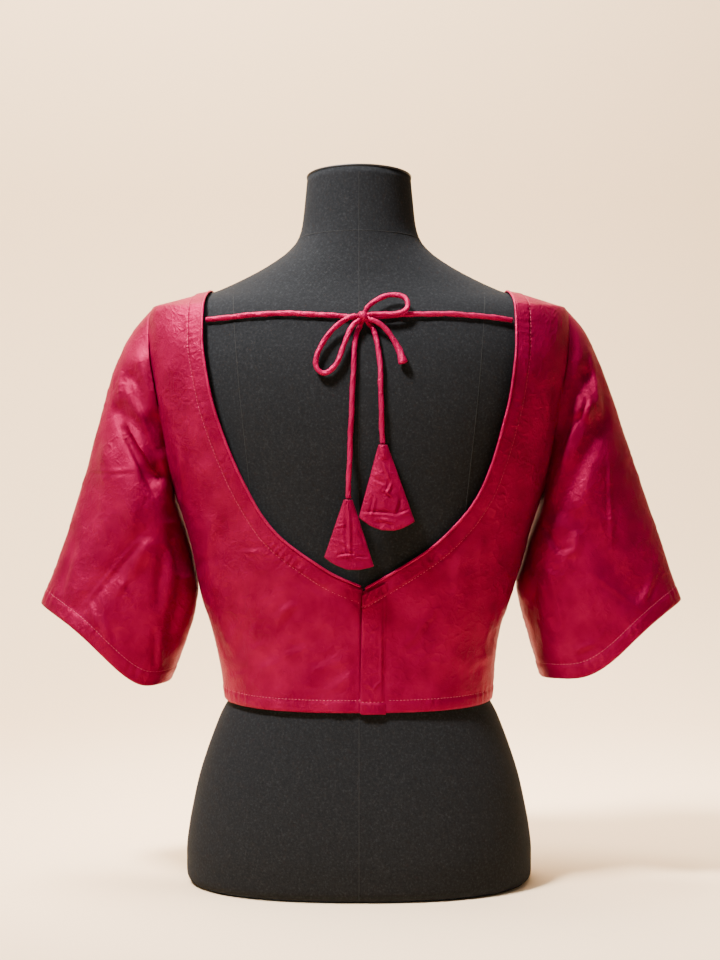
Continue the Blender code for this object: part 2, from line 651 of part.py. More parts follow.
def build_piping(finish):
    """The corded edge of the neckline, just inside each panel's edge."""
    offset = SEAM * SEAM_ALLOWANCE + PIPING / 2.0

    def edge_line(side, front):
        rows = panel_rows(side, front)
        start = len(rows) - 1 - (FRONT_NECK_ROWS if front else BACK_NECK_ROWS)
        edge = [row[0] for row in rows]
        line = []
        for r in range(start, len(rows)):
            along = edge[min(r + 1, len(rows) - 1)] - edge[max(r - 1, start)]
            inward = rows[r][1] - rows[r][0]
            inward -= along * (inward.dot(along) / along.length_squared)
            line.append(edge[r] - inward.normalized() * offset)
        return line

    for side, name in ((-1, "neck_piping_left"), (1, "neck_piping_right")):
        line = edge_line(side, False)
        start = PARTING + side * PIPING * PIPING_START
        line[0] = line[0].lerp(line[1], (start - line[0].x) / (line[1].x - line[0].x))
        line[-1].y -= SEAM * SEAM_ALLOWANCE
        tube(name, line, PIPING, finish, 1)
    left, right = edge_line(-1, True), edge_line(1, True)
    right[0].x = 0.0
    line = list(reversed(left[1:])) + right
    line[0].y += SEAM * SEAM_ALLOWANCE
    line[-1].y += SEAM * SEAM_ALLOWANCE
    tube("neck_piping_front", line, PIPING, finish, 1)


# Sleeves

def fold_height(folds, x, z):
    """How far the folds push the cloth in at a place, seen from behind."""
    total = 0.0
    for fold in folds:
        start, end = Vector((fold.x1, fold.z1)), Vector((fold.x2, fold.z2))
        along = end - start
        share = (Vector((x, z)) - start).dot(along) / along.length_squared
        nearest = start + along * min(max(share, 0.0), 1.0)
        distance = (Vector((x, z)) - nearest).length
        total += fold.depth * math.exp(-(distance / fold.width) ** 2)
    return total


def ring_point(cuff, dip, face, share):
    """A place on a sleeve's section: share is 0 at the outer fold and 1 near the body."""
    angle = math.pi * share
    power = OUTER_POWER if share < 0.5 else INNER_POWER
    run = math.copysign(abs(math.cos(angle)) ** (2.0 / power), math.cos(angle))
    deep = abs(math.sin(angle)) ** (2.0 / power)
    outer, inner = Vector((cuff.outer_x, cuff.outer_z)), Vector((cuff.inner_x, cuff.inner_z))
    place = (outer + inner) / 2.0 + (outer - inner) * run / 2.0
    place.x -= cuff.tuck * deep * max(0.0, -run)
    reach = dip.outward if run > dip.middle else dip.inward
    place.y -= dip.depth * cuff.along ** 2 * math.exp(-((run - dip.middle) / reach) ** 2)
    return Vector((place.x, face * cuff.depth * deep, place.y))


def even_ring(cuff, dip, face):
    dense = [ring_point(cuff, dip, face, i / 120.0) for i in range(121)]
    return even(dense, ARM_ROWS + 1)


def armhole_ring(side, front):
    """The sleeve's first ring, from the shoulder to the underarm, clear of the panel's edge."""
    face = 1 if front else -1
    marks = list(reversed(armhole(front)))
    points = [cloth_point(side, t.x, t.y) for t in marks]
    centre = Vector((side * 0.2, 0.0, (points[0].z + points[-1].z) / 2.0))
    ring = []
    for i, mark in enumerate(marks):
        before, after = points[max(i - 1, 0)], points[min(i + 1, len(points) - 1)]
        along = after - before
        if i in (0, len(marks) - 1):
            along = Vector((0.0, 1.0, 0.0)) * face
        normal = cloth_normal(side, mark.x, mark.y)
        across = normal.cross(along).normalized()
        if across.dot(centre - points[i]) < 0.0:
            across.negate()
        ring.append(points[i] + (across + normal) * (SEAM * ARMHOLE_ALLOWANCE))
    return ring


def sleeve_half(side, name, front):
    """Rows of points over one face of a sleeve, from the armhole to the hem."""
    face = 1 if front else -1
    table, dip = SLEEVES[name], HEM_DIP[name]
    first = armhole_ring(side, front)
    start = even_ring(table[0], dip, face)
    rows = [first]
    for r in range(1, SLEEVE_ROWS + 1):
        along = r / SLEEVE_ROWS
        cuff = Cuff(along, *[smooth_column(table, field, along) for field in Cuff._fields[1:]])
        ring = even_ring(cuff, dip, face)
        keep = max(0.0, 1.0 - along / ARMHOLE_REACH) ** 2
        row = []
        for i, point in enumerate(ring):
            push = fold_height(SLEEVE_FOLDS[name], point.x, point.z)
            deep = min(1.0, abs(point.y) / FOLD_FADE)
            point.y -= face * push * deep
            point.x *= side
            base = Vector((side * start[i].x, start[i].y, start[i].z))
            row.append(point + (first[i] - base) * keep)
        rows.append(row)
    return rows


def build_sleeves(finish):
    for side, name in ((-1, "left"), (1, "right")):
        back, front = sleeve_half(side, name, False), sleeve_half(side, name, True)
        rows = []
        for behind, before in zip(back, front):
            shared_top = (behind[0] + before[0]) / 2.0
            shared_low = (behind[-1] + before[-1]) / 2.0
            ring = [shared_top] + behind[1:-1] + [shared_low] + list(reversed(before[1:-1]))
            rows.append(ring)

        cloth_wall("sleeve_" + name, [rows], True, finish, away_from_middle_plane)


# The tie

def route(name):
    stops = [form_back(stop.x, stop.z, stop.lift) for stop in ROUTES[name]]
    length = sum((b - a).length for a, b in zip(stops, stops[1:]))
    return spline(stops, max(6, round(length / (CORD * 1.6)) + 1))


def build_tie(finish):
    for name in ROUTES:
        points = route(name)
        radii = [1.0] * len(points)
        if name == "tie_tail_short":
            radii = [1.0 + (SHORT_TAIL_FLARE - 1.0) * (i / (len(points) - 1)) ** 3
                     for i in range(len(points))]
        tube(name, points, CORD, finish, 2, radii)
    centre = form_back(*KNOT)
    bpy.ops.mesh.primitive_uv_sphere_add(segments=14, ring_count=8, radius=KNOT_RADIUS)
    knot = bpy.context.object
    knot.name = "bow_knot"
    for home in list(knot.users_collection):
        home.objects.unlink(knot)
    bpy.data.collections["choli_blouse"].objects.link(knot)
    knot.location = centre
    knot.data.materials.append(finish)


def build_tassels(finish):
    for name, tassel in TASSELS.items():
        rows = []
        for r in range(TASSEL_ROWS, -1, -1):
            down = r / TASSEL_ROWS
            left = Vector((tassel.x - TASSEL_NECK, tassel.z)).lerp(
                Vector((tassel.left_x, tassel.left_z)), down)
            right = Vector((tassel.x + TASSEL_NECK, tassel.z)).lerp(
                Vector((tassel.right_x, tassel.right_z)), down)
            centre, half = (left + right) / 2.0, (right - left) / 2.0
            deep = TASSEL_TOP + (tassel.thickness / 2.0 - TASSEL_TOP) * down
            ring = []
            for i in range(TASSEL_SIDES):
                angle = 2.0 * math.pi * i / TASSEL_SIDES
                across = math.cos(angle)
                depth = math.copysign(abs(math.sin(angle)) ** TASSEL_EDGE, math.sin(angle))
                place = centre + half * across
                sag = tassel.sag * down ** 2 * (1.0 - across ** 2)
                ring.append(Vector((place.x, tassel.y + deep * depth, place.y - sag)))
            rows.append(ring)
        closed_loft(name, rows, finish)


def main():
    for old in list(bpy.data.objects):
        bpy.data.objects.remove(old, do_unlink=True)
    parts = bpy.data.collections.new("choli_blouse")
    bpy.context.scene.collection.children.link(parts)
    cloth = material("crimson_cloth", (0.42, 0.012, 0.055), 0.5)
    trim = material("crimson_trim", (0.50, 0.018, 0.070), 0.45)
    jersey = material("charcoal_jersey", (0.035, 0.036, 0.038), 0.85)
    cap = material("black_cap", (0.012, 0.012, 0.013), 0.6)
    build_form(jersey, cap)
    build_panels(cloth)
    build_placket(cloth)
    build_piping(trim)
    build_sleeves(cloth)
    build_tie(trim)
    build_tassels(cloth)


main()
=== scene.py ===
# %% [markdown]
# # A choli blouse on a dress form
#
# A choli is the short fitted blouse that is worn under a sari. This one is seen from behind:
# its back is a deep open curve, held across the shoulders by a fabric cord that is tied in a
# bow, and its elbow sleeves flare out. It is shown on a half-body form covered in jersey.
#
# The measured model is loaded first and stays as it is. Each cell below then makes the finer
# piece of cloth, cord or jersey that lies where one of its solids is.

# %% Load the measured model
import math
from collections import namedtuple

import bmesh
import bpy
import numpy as np
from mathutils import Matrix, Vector, noise


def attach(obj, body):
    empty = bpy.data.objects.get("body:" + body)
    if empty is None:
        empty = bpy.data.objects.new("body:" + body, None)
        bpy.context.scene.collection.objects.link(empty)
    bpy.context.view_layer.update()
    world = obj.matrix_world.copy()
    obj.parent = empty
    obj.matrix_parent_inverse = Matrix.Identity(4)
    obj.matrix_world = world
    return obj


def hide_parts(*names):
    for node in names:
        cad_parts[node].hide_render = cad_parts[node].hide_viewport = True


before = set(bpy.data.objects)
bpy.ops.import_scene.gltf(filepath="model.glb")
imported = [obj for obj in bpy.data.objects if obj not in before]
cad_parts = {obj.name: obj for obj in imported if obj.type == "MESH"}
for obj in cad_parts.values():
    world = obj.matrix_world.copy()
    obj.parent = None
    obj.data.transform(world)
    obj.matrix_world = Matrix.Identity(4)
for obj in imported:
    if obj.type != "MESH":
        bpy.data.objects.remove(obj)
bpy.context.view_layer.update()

# %% [markdown]
# ## Camera, floor and light
#
# The photograph looks straight at the back from about two metres with a long lens, so a lens
# of 75 mm is right: a shorter one would make the sleeves' outer edges lean. The floor runs up
# into the wall as one curved sheet, as in a studio, so there is no line between the two.

# %% Camera and studio floor
camera_data = bpy.data.cameras.new("studio_camera")
camera_data.lens = 75.0
camera_data.sensor_width = 36.0
camera = bpy.data.objects.new("studio_camera", camera_data)
camera.location = (0.001, -2.0, 0.4486)
camera.rotation_euler = (math.radians(90.0 - 1.432), 0.0, 0.0)
bpy.context.scene.collection.objects.link(camera)
bpy.context.scene.camera = camera


def new_shader(name, colour, roughness):
    """A material with a Principled shader, and its nodes and links for what is added to it."""
    made = bpy.data.materials.new(name)
    made.use_nodes = True
    shader = made.node_tree.nodes["Principled BSDF"]
    shader.inputs["Base Color"].default_value = (*colour, 1.0)
    shader.inputs["Roughness"].default_value = roughness
    return made, shader, made.node_tree.nodes, made.node_tree.links


def new_object(name, data, finish):
    made = bpy.data.objects.new(name, data)
    data.materials.append(finish)
    bpy.context.scene.collection.objects.link(made)
    return made


STAGE_WIDTH, STAGE_FRONT, WALL_AT, COVE = 9.0, -4.0, 1.9, 0.9


def studio_sheet():
    """The floor, a quarter-round cove and the wall, as one strip."""
    outline = [(STAGE_FRONT, 0.0), (WALL_AT - COVE, 0.0)]
    for i in range(1, 17):
        angle = math.pi / 2.0 * i / 16
        outline.append((WALL_AT - COVE + COVE * math.sin(angle), COVE - COVE * math.cos(angle)))
    outline.append((WALL_AT, 4.5))
    verts = [(x, y, z) for y, z in outline for x in (-STAGE_WIDTH / 2, STAGE_WIDTH / 2)]
    faces = [(2 * i, 2 * i + 1, 2 * i + 3, 2 * i + 2) for i in range(len(outline) - 1)]
    mesh = bpy.data.meshes.new("studio_sheet")
    mesh.from_pydata(verts, [], faces)
    mesh.shade_smooth()
    return mesh


paper, paper_shader, _, _ = new_shader("cream_paper", (0.97, 0.74, 0.49), 0.9)
paper_shader.inputs["Specular IOR Level"].default_value = 0.1
backdrop = new_object("studio_sheet", studio_sheet(), paper)

# %% [markdown]
# The light comes from the upper left, and is soft. On glossy cloth a lamp does two jobs: it
# shows the folds by its shadows and draws the sheen by its reflection. One large lamp close to
# the camera's left does both, a weak one on the right keeps the shadows open, and one behind
# lights the wall alone.

# %% Lights
Lamp = namedtuple("Lamp", "name place aim size power colour")
LAMPS = [
    Lamp("key", (-1.00, -0.80, 2.40), (-0.10, 0.0, 0.66), 0.40, 15.0, (1.0, 0.965, 0.94)),
    Lamp("fill", (1.5, -1.3, 2.1), (0.05, 0.0, 0.50), 1.2, 5.0, (1.0, 0.95, 0.92)),
    Lamp("top", (-0.5, -0.3, 3.0), (0.0, -0.1, 0.0), 1.8, 70.0, (1.0, 0.95, 0.88)),
    Lamp("wall", (-0.6, 0.6, 2.9), (0.0, 1.9, 0.9), 1.6, 250.0, (1.0, 0.94, 0.86)),
]

KEY_SPREAD = 42.0          # degrees: its light falls off towards the hem


def add_lamp(lamp):
    data = bpy.data.lights.new(lamp.name + "_light", "AREA")
    data.size = lamp.size
    data.energy = lamp.power
    data.color = lamp.colour
    data.spread = math.radians(KEY_SPREAD if lamp.name == "key" else 180.0)
    made = bpy.data.objects.new(lamp.name + "_light", data)
    made.location = lamp.place
    direction = Vector(lamp.aim) - Vector(lamp.place)
    made.rotation_euler = direction.to_track_quat("-Z", "Y").to_euler()
    bpy.context.scene.collection.objects.link(made)


for lamp in LAMPS:
    add_lamp(lamp)
world = bpy.data.worlds.new("studio_world")
world.use_nodes = True
sky = world.node_tree.nodes["Background"]
sky.inputs["Color"].default_value = (1.0, 0.93, 0.86, 1.0)
sky.inputs["Strength"].default_value = 0.06
bpy.context.scene.world = world
print("lamps:", [lamp.name for lamp in LAMPS])

# %% [markdown]
# ## The shapes of the body and of the cloth
#
# A dress form has no flat sides and no corners. It can be sculpted, but here it is drawn as a
# tailor's measurements: one row for each height, with half the width, how far the back and the
# front stand out, and how square the outline is there. The cloth has a table of its own, a few
# millimetres further out, and bridges the hollow of the back. Values between the rows come
# from a cubic that never overshoots them. A place on either surface is then two numbers: a
# turn, which is 0 at the centre back, 1 at the side and 2 at the centre front, and a height.

# %% Tables of sections
Section = namedtuple("Section", "height half_width back front power")
FORM = [
    Section(0.0000, 0.1720, 0.1190, 0.1050, 2.35), Section(0.0320, 0.1722, 0.1205, 0.1060, 2.35),
    Section(0.0550, 0.1697, 0.1190, 0.1050, 2.35), Section(0.0780, 0.1655, 0.1160, 0.1035, 2.35),
    Section(0.1030, 0.1600, 0.1115, 0.1015, 2.35), Section(0.1260, 0.1530, 0.1065, 0.0995, 2.35),
    Section(0.1470, 0.1455, 0.1015, 0.0985, 2.35), Section(0.1680, 0.1370, 0.0966, 0.0975, 2.35),
    Section(0.1820, 0.1300, 0.0932, 0.0970, 2.35), Section(0.2050, 0.1280, 0.0895, 0.0975, 2.35),
    Section(0.2220, 0.1300, 0.0885, 0.0990, 2.35), Section(0.2400, 0.1350, 0.0885, 0.1010, 2.35),
    Section(0.2600, 0.1410, 0.0895, 0.1040, 2.35), Section(0.3000, 0.1530, 0.0940, 0.1100, 2.35),
    Section(0.3300, 0.1595, 0.0975, 0.1150, 2.35), Section(0.3600, 0.1650, 0.1005, 0.1170, 2.35),
    Section(0.4000, 0.1720, 0.1040, 0.1150, 2.40), Section(0.4300, 0.1785, 0.1060, 0.1110, 2.45),
    Section(0.4600, 0.1855, 0.1065, 0.1050, 2.50), Section(0.4900, 0.1915, 0.1050, 0.0980, 2.50),
    Section(0.5200, 0.1950, 0.1005, 0.0890, 2.50), Section(0.5400, 0.1955, 0.0950, 0.0810, 2.45),
    Section(0.5520, 0.1943, 0.0905, 0.0760, 2.40), Section(0.5600, 0.1922, 0.0870, 0.0725, 2.35),
    Section(0.5665, 0.1885, 0.0835, 0.0695, 2.30), Section(0.5715, 0.1840, 0.0806, 0.0672, 2.25),
    Section(0.5752, 0.1775, 0.0784, 0.0655, 2.20), Section(0.5783, 0.1680, 0.0766, 0.0643, 2.18),
    Section(0.5811, 0.1575, 0.0751, 0.0633, 2.15), Section(0.5840, 0.1475, 0.0735, 0.0623, 2.12),
    Section(0.5873, 0.1395, 0.0717, 0.0615, 2.10), Section(0.5975, 0.1170, 0.0670, 0.0598, 2.05),
    Section(0.6125, 0.0895, 0.0618, 0.0590, 2.00), Section(0.6260, 0.0707, 0.0576, 0.0590, 2.00),
    Section(0.6380, 0.0608, 0.0547, 0.0592, 2.00), Section(0.6506, 0.0568, 0.0518, 0.0595, 2.00),
    Section(0.6776, 0.0536, 0.0476, 0.0594, 2.00), Section(0.6985, 0.0516, 0.0452, 0.0586, 2.00),
]
CLOTH = [
    Section(0.1700, 0.1338, 0.0985, 0.1015, 2.45), Section(0.1820, 0.1345, 0.0972, 0.1015, 2.45),
    Section(0.2000, 0.1368, 0.0958, 0.1030, 2.45), Section(0.2200, 0.1395, 0.0952, 0.1055, 2.45),
    Section(0.2400, 0.1435, 0.0955, 0.1085, 2.45), Section(0.2600, 0.1495, 0.0962, 0.1115, 2.45),
    Section(0.2800, 0.1565, 0.0973, 0.1140, 2.45), Section(0.3000, 0.1610, 0.0985, 0.1165, 2.45),
    Section(0.3300, 0.1670, 0.1012, 0.1200, 2.45), Section(0.3600, 0.1750, 0.1040, 0.1215, 2.45),
    Section(0.3850, 0.1830, 0.1060, 0.1205, 2.50), Section(0.4200, 0.1935, 0.1088, 0.1165, 2.50),
    Section(0.4600, 0.2020, 0.1100, 0.1100, 2.55), Section(0.4900, 0.2075, 0.1085, 0.1025, 2.55),
    Section(0.5200, 0.2115, 0.1040, 0.0935, 2.55), Section(0.5400, 0.2120, 0.0985, 0.0855, 2.50),
    Section(0.5520, 0.2110, 0.0942, 0.0805, 2.45), Section(0.5620, 0.2090, 0.0900, 0.0765, 2.40),
    Section(0.5700, 0.2050, 0.0855, 0.0727, 2.35), Section(0.5740, 0.1925, 0.0833, 0.0709, 2.30),
    Section(0.5775, 0.1815, 0.0813, 0.0692, 2.27), Section(0.5808, 0.1700, 0.0794, 0.0677, 2.24),
    Section(0.5838, 0.1585, 0.0776, 0.0664, 2.20), Section(0.5864, 0.1480, 0.0761, 0.0653, 2.15),
    Section(0.5895, 0.1390, 0.0745, 0.0643, 2.10), Section(0.5948, 0.1270, 0.0716, 0.0629, 2.05),
]
Bust = namedtuple("Bust", "out height spread_x spread_z depth")
FORM_BUST = Bust(0.078, 0.380, 0.048, 0.052, 0.021)
CLOTH_BUST = Bust(0.076, 0.380, 0.056, 0.058, 0.0225)
BUST_FADE = 2.2
TakeIn = namedtuple("TakeIn", "height spread depth")
RIGHT_TAKE_IN = TakeIn(0.262, 0.062, 0.0060)
print("rows:", len(FORM), "for the form,", len(CLOTH), "for the cloth")


# %% Surfaces from the tables
def smooth_column(rows, name, value):
    """A column of a table at one or many values of its first column."""
    keys = np.array([row[0] for row in rows])
    values = np.array([getattr(row, name) for row in rows])
    slopes = np.diff(values) / np.diff(keys)
    before, after = slopes[:-1], slopes[1:]
    same_way = before * after > 0.0
    middle = np.where(same_way, 2.0 * before * after / np.where(same_way, before + after, 1.0), 0.0)
    tangents = np.concatenate([slopes[:1], middle, slopes[-1:]])
    value = np.clip(value, keys[0], keys[-1])
    i = np.clip(np.searchsorted(keys, value), 1, len(keys) - 1)
    span = keys[i] - keys[i - 1]
    t = (value - keys[i - 1]) / span
    rise = 3.0 * t * t - 2.0 * t ** 3
    start = (t ** 3 - 2.0 * t * t + t) * tangents[i - 1] * span
    end = (t ** 3 - t * t) * tangents[i] * span
    return values[i - 1] * (1.0 - rise) + values[i] * rise + start + end


def torso(table, bust, side, turn, height):
    """The places on a torso surface at turns and heights, on one side (-1 or 1)."""
    turn, height = np.broadcast_arrays(np.asarray(turn, float), np.asarray(height, float))
    half_width, back, front, power = [smooth_column(table, n, height) for n in Section._fields[1:]]
    angle = turn * math.pi / 2.0
    x = half_width * np.abs(np.sin(angle)) ** (2.0 / power)
    across = np.abs(np.cos(angle)) ** (2.0 / power)
    near = ((x - bust.out) / bust.spread_x) ** 2 + ((height - bust.height) / bust.spread_z) ** 2
    bulge = bust.depth * np.exp(-near) * np.minimum(1.0, BUST_FADE * across)
    y = np.where(turn <= 1.0, -back * across, front * across + bulge)
    return np.stack([side * x, y, height], axis=-1)


def cloth_surface(side, turn, height):
    points = torso(CLOTH, CLOTH_BUST, side, turn, height)
    if side > 0:
        taken = RIGHT_TAKE_IN
        near = np.exp(-((points[..., 2] - taken.height) / taken.spread) ** 2)
        points[..., 0] -= taken.depth * near * np.sin(np.asarray(turn) * math.pi / 2.0) ** 4
    return points


def form_surface(side, turn, height):
    return torso(FORM, FORM_BUST, side, turn, height)


def turn_of(table, x, height, front=False):
    """The turn at which a torso section is x from the middle."""
    half_width = smooth_column(table, "half_width", height)
    power = smooth_column(table, "power", height)
    share = np.minimum(1.0, np.abs(x) / half_width) ** (power / 2.0)
    back_turn = np.arcsin(share) * 2.0 / math.pi
    return 2.0 - back_turn if front else back_turn


bust_places = [cloth_surface(1, turn_of(CLOTH, CLOTH_BUST.out, CLOTH_BUST.height, front), CLOTH_BUST.height)
               for front in (False, True)]
print("cloth at the bust, front to back:", round(float(bust_places[1][1] - bust_places[0][1]), 3), "m")


# %% Lines through points
def even(points, count):
    """The same line with its points at even distances."""
    points = np.asarray(points, float)
    reach = np.concatenate([[0.0], np.cumsum(np.linalg.norm(np.diff(points, axis=0), axis=1))])
    goals = np.linspace(0.0, reach[-1], count)
    return np.stack([np.interp(goals, reach, points[:, k]) for k in range(points.shape[1])], axis=1)


def spline(points, count, steps=24):
    """Points at even distances along a smooth curve through the given ones."""
    points = np.asarray(points, float)
    ends = np.vstack([2.0 * points[0] - points[1], points, 2.0 * points[-1] - points[-2]])
    a, b, c, d = ends[:-3, None], ends[1:-2, None], ends[2:-1, None], ends[3:, None]
    t = (np.arange(steps) / steps)[None, :, None]
    fine = 0.5 * (2.0 * b + (c - a) * t + (2.0 * a - 5.0 * b + 4.0 * c - d) * t ** 2
                  + (3.0 * b - a - 3.0 * c + d) * t ** 3)
    return even(np.vstack([fine.reshape(-1, points.shape[1]), points[-1:]]), count)


def length_of(points):
    return float(np.linalg.norm(np.diff(points, axis=0), axis=1).sum())


def form_back(x, z, lift):
    """A place lifted off the form's back, where x and z are as seen from behind."""
    def depth(at_x, at_z):
        return float(form_surface(1, turn_of(FORM, at_x, at_z), at_z)[1])
    step = 0.002
    here = depth(x, z)
    slope_z = (depth(x, z + step) - here) / step
    slope_x = (depth(abs(x) + step, z) - here) / step
    return [x, here - lift * math.sqrt(1.0 + slope_z ** 2 + slope_x ** 2), z]


print("a cord 3 mm off the form's back, at the knot:", [round(v, 4) for v in form_back(0.004, 0.5562, 0.003)])

# %% [markdown]
# ## The finish of the cloth
#
# The blouse is a crisp crimson silk-cotton. Three things make it look so. Its colour shifts a
# little from patch to patch. Its gloss is broad and tinted, because light comes back from the
# dyed threads, so a white highlight would look like plastic. And it is crushed all over into
# thin curved creases a few millimetres long. Those could all be modelled, but at that size a
# bump does the same for far fewer points, and only the larger creases are in the mesh. The
# weave is the finest layer, and follows the piece's own UV map, which is in metres.


# %% Helpers for materials
def add_node(nodes, kind, label, **values):
    node = nodes.new(kind)
    node.label = label
    for name, value in values.items():
        if name in node.inputs:
            node.inputs[name].default_value = value
        else:
            setattr(node, name, value)
    return node


def colour_ramp(nodes, label, *stops):
    """A colour ramp with the given (position, colour) stops."""
    node = nodes.new("ShaderNodeValToRGB")
    node.label = label
    ramp = node.color_ramp
    while len(ramp.elements) < len(stops):
        ramp.elements.new(0.5)
    for element, (position, colour) in zip(ramp.elements, stops):
        element.position = position
        element.color = (*colour, 1.0)
    return node


GREY = ((0.0, 0.0, 0.0), (1.0, 1.0, 1.0))


def object_noise(nodes, links, label, size, detail=2.0, roughness=0.5, distortion=0.0):
    """Noise whose patches are about this size in metres."""
    place = add_node(nodes, "ShaderNodeTexCoord", "place")
    made = add_node(nodes, "ShaderNodeTexNoise", label, Scale=1.0 / size, Detail=detail,
                    Roughness=roughness, Distortion=distortion)
    links.new(place.outputs["Object"], made.inputs["Vector"])
    return made


# %% Crimson silk-cotton
Weave = namedtuple("Weave", "thread height")
CRIMSON_WEAVE = Weave(0.00042, 0.00003)
Crush = namedtuple("Crush", "size height")
LONG_CREASES = Crush(0.0110, 0.00030)
FINE_CREASES = Crush(0.0042, 0.00016)


def add_crush(nodes, links, crush, warp, before):
    """Bump along the borders of warped cells, which look like the creases of crushed cloth."""
    cells = add_node(nodes, "ShaderNodeTexVoronoi", "creases", feature="DISTANCE_TO_EDGE",
                     Scale=1.0 / crush.size)
    links.new(warp.outputs[0], cells.inputs["Vector"])
    edge = colour_ramp(nodes, "narrow ridge", (0.0, GREY[1]), (0.22, GREY[0]))
    links.new(cells.outputs["Distance"], edge.inputs["Fac"])
    patchy = object_noise(nodes, links, "where the creases are", crush.size * 3.2, 1.0)
    where = colour_ramp(nodes, "patches", (0.36, GREY[0]), (0.64, GREY[1]))
    links.new(patchy.outputs["Fac"], where.inputs["Fac"])
    height = add_node(nodes, "ShaderNodeMath", "crease height", operation="MULTIPLY")
    links.new(edge.outputs["Color"], height.inputs[0])
    links.new(where.outputs["Color"], height.inputs[1])
    bump = add_node(nodes, "ShaderNodeBump", "crease bump", Strength=1.0, Distance=crush.height)
    links.new(height.outputs[0], bump.inputs["Height"])
    if before is not None:
        links.new(before.outputs["Normal"], bump.inputs["Normal"])
    return bump


def crimson_cloth(name, dark, light, roughness):
    made, shader, nodes, links = new_shader(name, light, roughness)
    shader.inputs["Specular IOR Level"].default_value = 0.14
    shader.inputs["Metallic"].default_value = 0.36
    shader.inputs["Specular Tint"].default_value = (1.0, 0.12, 0.34, 1.0)
    patches = object_noise(nodes, links, "patches of colour", 0.030, 4.0, 0.6)
    tint = colour_ramp(nodes, "two crimsons", (0.32, dark), (0.70, light))
    links.new(patches.outputs["Fac"], tint.inputs["Fac"])
    links.new(tint.outputs["Color"], shader.inputs["Base Color"])
    place = add_node(nodes, "ShaderNodeTexCoord", "place")
    swirl = object_noise(nodes, links, "swirl", 0.0075, 1.0)
    centred = add_node(nodes, "ShaderNodeVectorMath", "swirl from the middle", operation="SUBTRACT")
    centred.inputs[1].default_value = (0.5, 0.5, 0.5)
    links.new(swirl.outputs["Color"], centred.inputs[0])
    reach = add_node(nodes, "ShaderNodeVectorMath", "swirl in metres", operation="SCALE")
    reach.inputs["Scale"].default_value = 0.0085
    links.new(centred.outputs[0], reach.inputs[0])
    warp = add_node(nodes, "ShaderNodeVectorMath", "swirled place", operation="ADD")
    links.new(place.outputs["Object"], warp.inputs[0])
    links.new(reach.outputs[0], warp.inputs[1])
    bump = add_crush(nodes, links, LONG_CREASES, warp, None)
    bump = add_crush(nodes, links, FINE_CREASES, warp, bump)
    weave = add_weave(nodes, links, CRIMSON_WEAVE, bump)
    links.new(weave.outputs["Normal"], shader.inputs["Normal"])
    return made


def add_weave(nodes, links, weave, before):
    """Threads one way and the other, from the piece's UV map in metres."""
    flat = add_node(nodes, "ShaderNodeUVMap", "cloth in metres", uv_map="cloth")
    heights = []
    for direction in ("X", "Y"):
        wave = add_node(nodes, "ShaderNodeTexWave", "threads", wave_type="BANDS",
                        bands_direction=direction, Scale=math.pi / (10.0 * weave.thread),
                        Distortion=0.6, Detail=1.0)
        links.new(flat.outputs["UV"], wave.inputs["Vector"])
        heights.append(wave)
    both = add_node(nodes, "ShaderNodeMath", "over and under", operation="ADD")
    links.new(heights[0].outputs["Fac"], both.inputs[0])
    links.new(heights[1].outputs["Fac"], both.inputs[1])
    bump = add_node(nodes, "ShaderNodeBump", "weave bump", Strength=1.0, Distance=weave.height)
    links.new(both.outputs[0], bump.inputs["Height"])
    links.new(before.outputs["Normal"], bump.inputs["Normal"])
    return bump


crimson = crimson_cloth("crimson_silk_cotton", (0.145, 0.001, 0.022), (0.225, 0.0015, 0.038), 0.45)
trim = crimson_cloth("crimson_bias_cord", (0.23, 0.0015, 0.036), (0.36, 0.003, 0.064), 0.42)
print("materials:", crimson.name, trim.name)

# %% [markdown]
# ## The tie
#
# The cord is a strip of the same cloth, cut across its grain and sewn into a tube 5 mm thick,
# which is about 4.5 mm on the mesh because it lies a little flat. It runs from each side of the
# neckline to a bow, which leaves two loops, two long tails with cloth tassels and one short
# bare end. Each run is a tube along its own route. A curve with a bevel would be the quick way,
# but a sewn tube isn't round: it is a little flat, it swells and thins, and its seam twists
# around it. So the rings are made here one by one, each at right angles to the route, and
# turned a little further than the last.

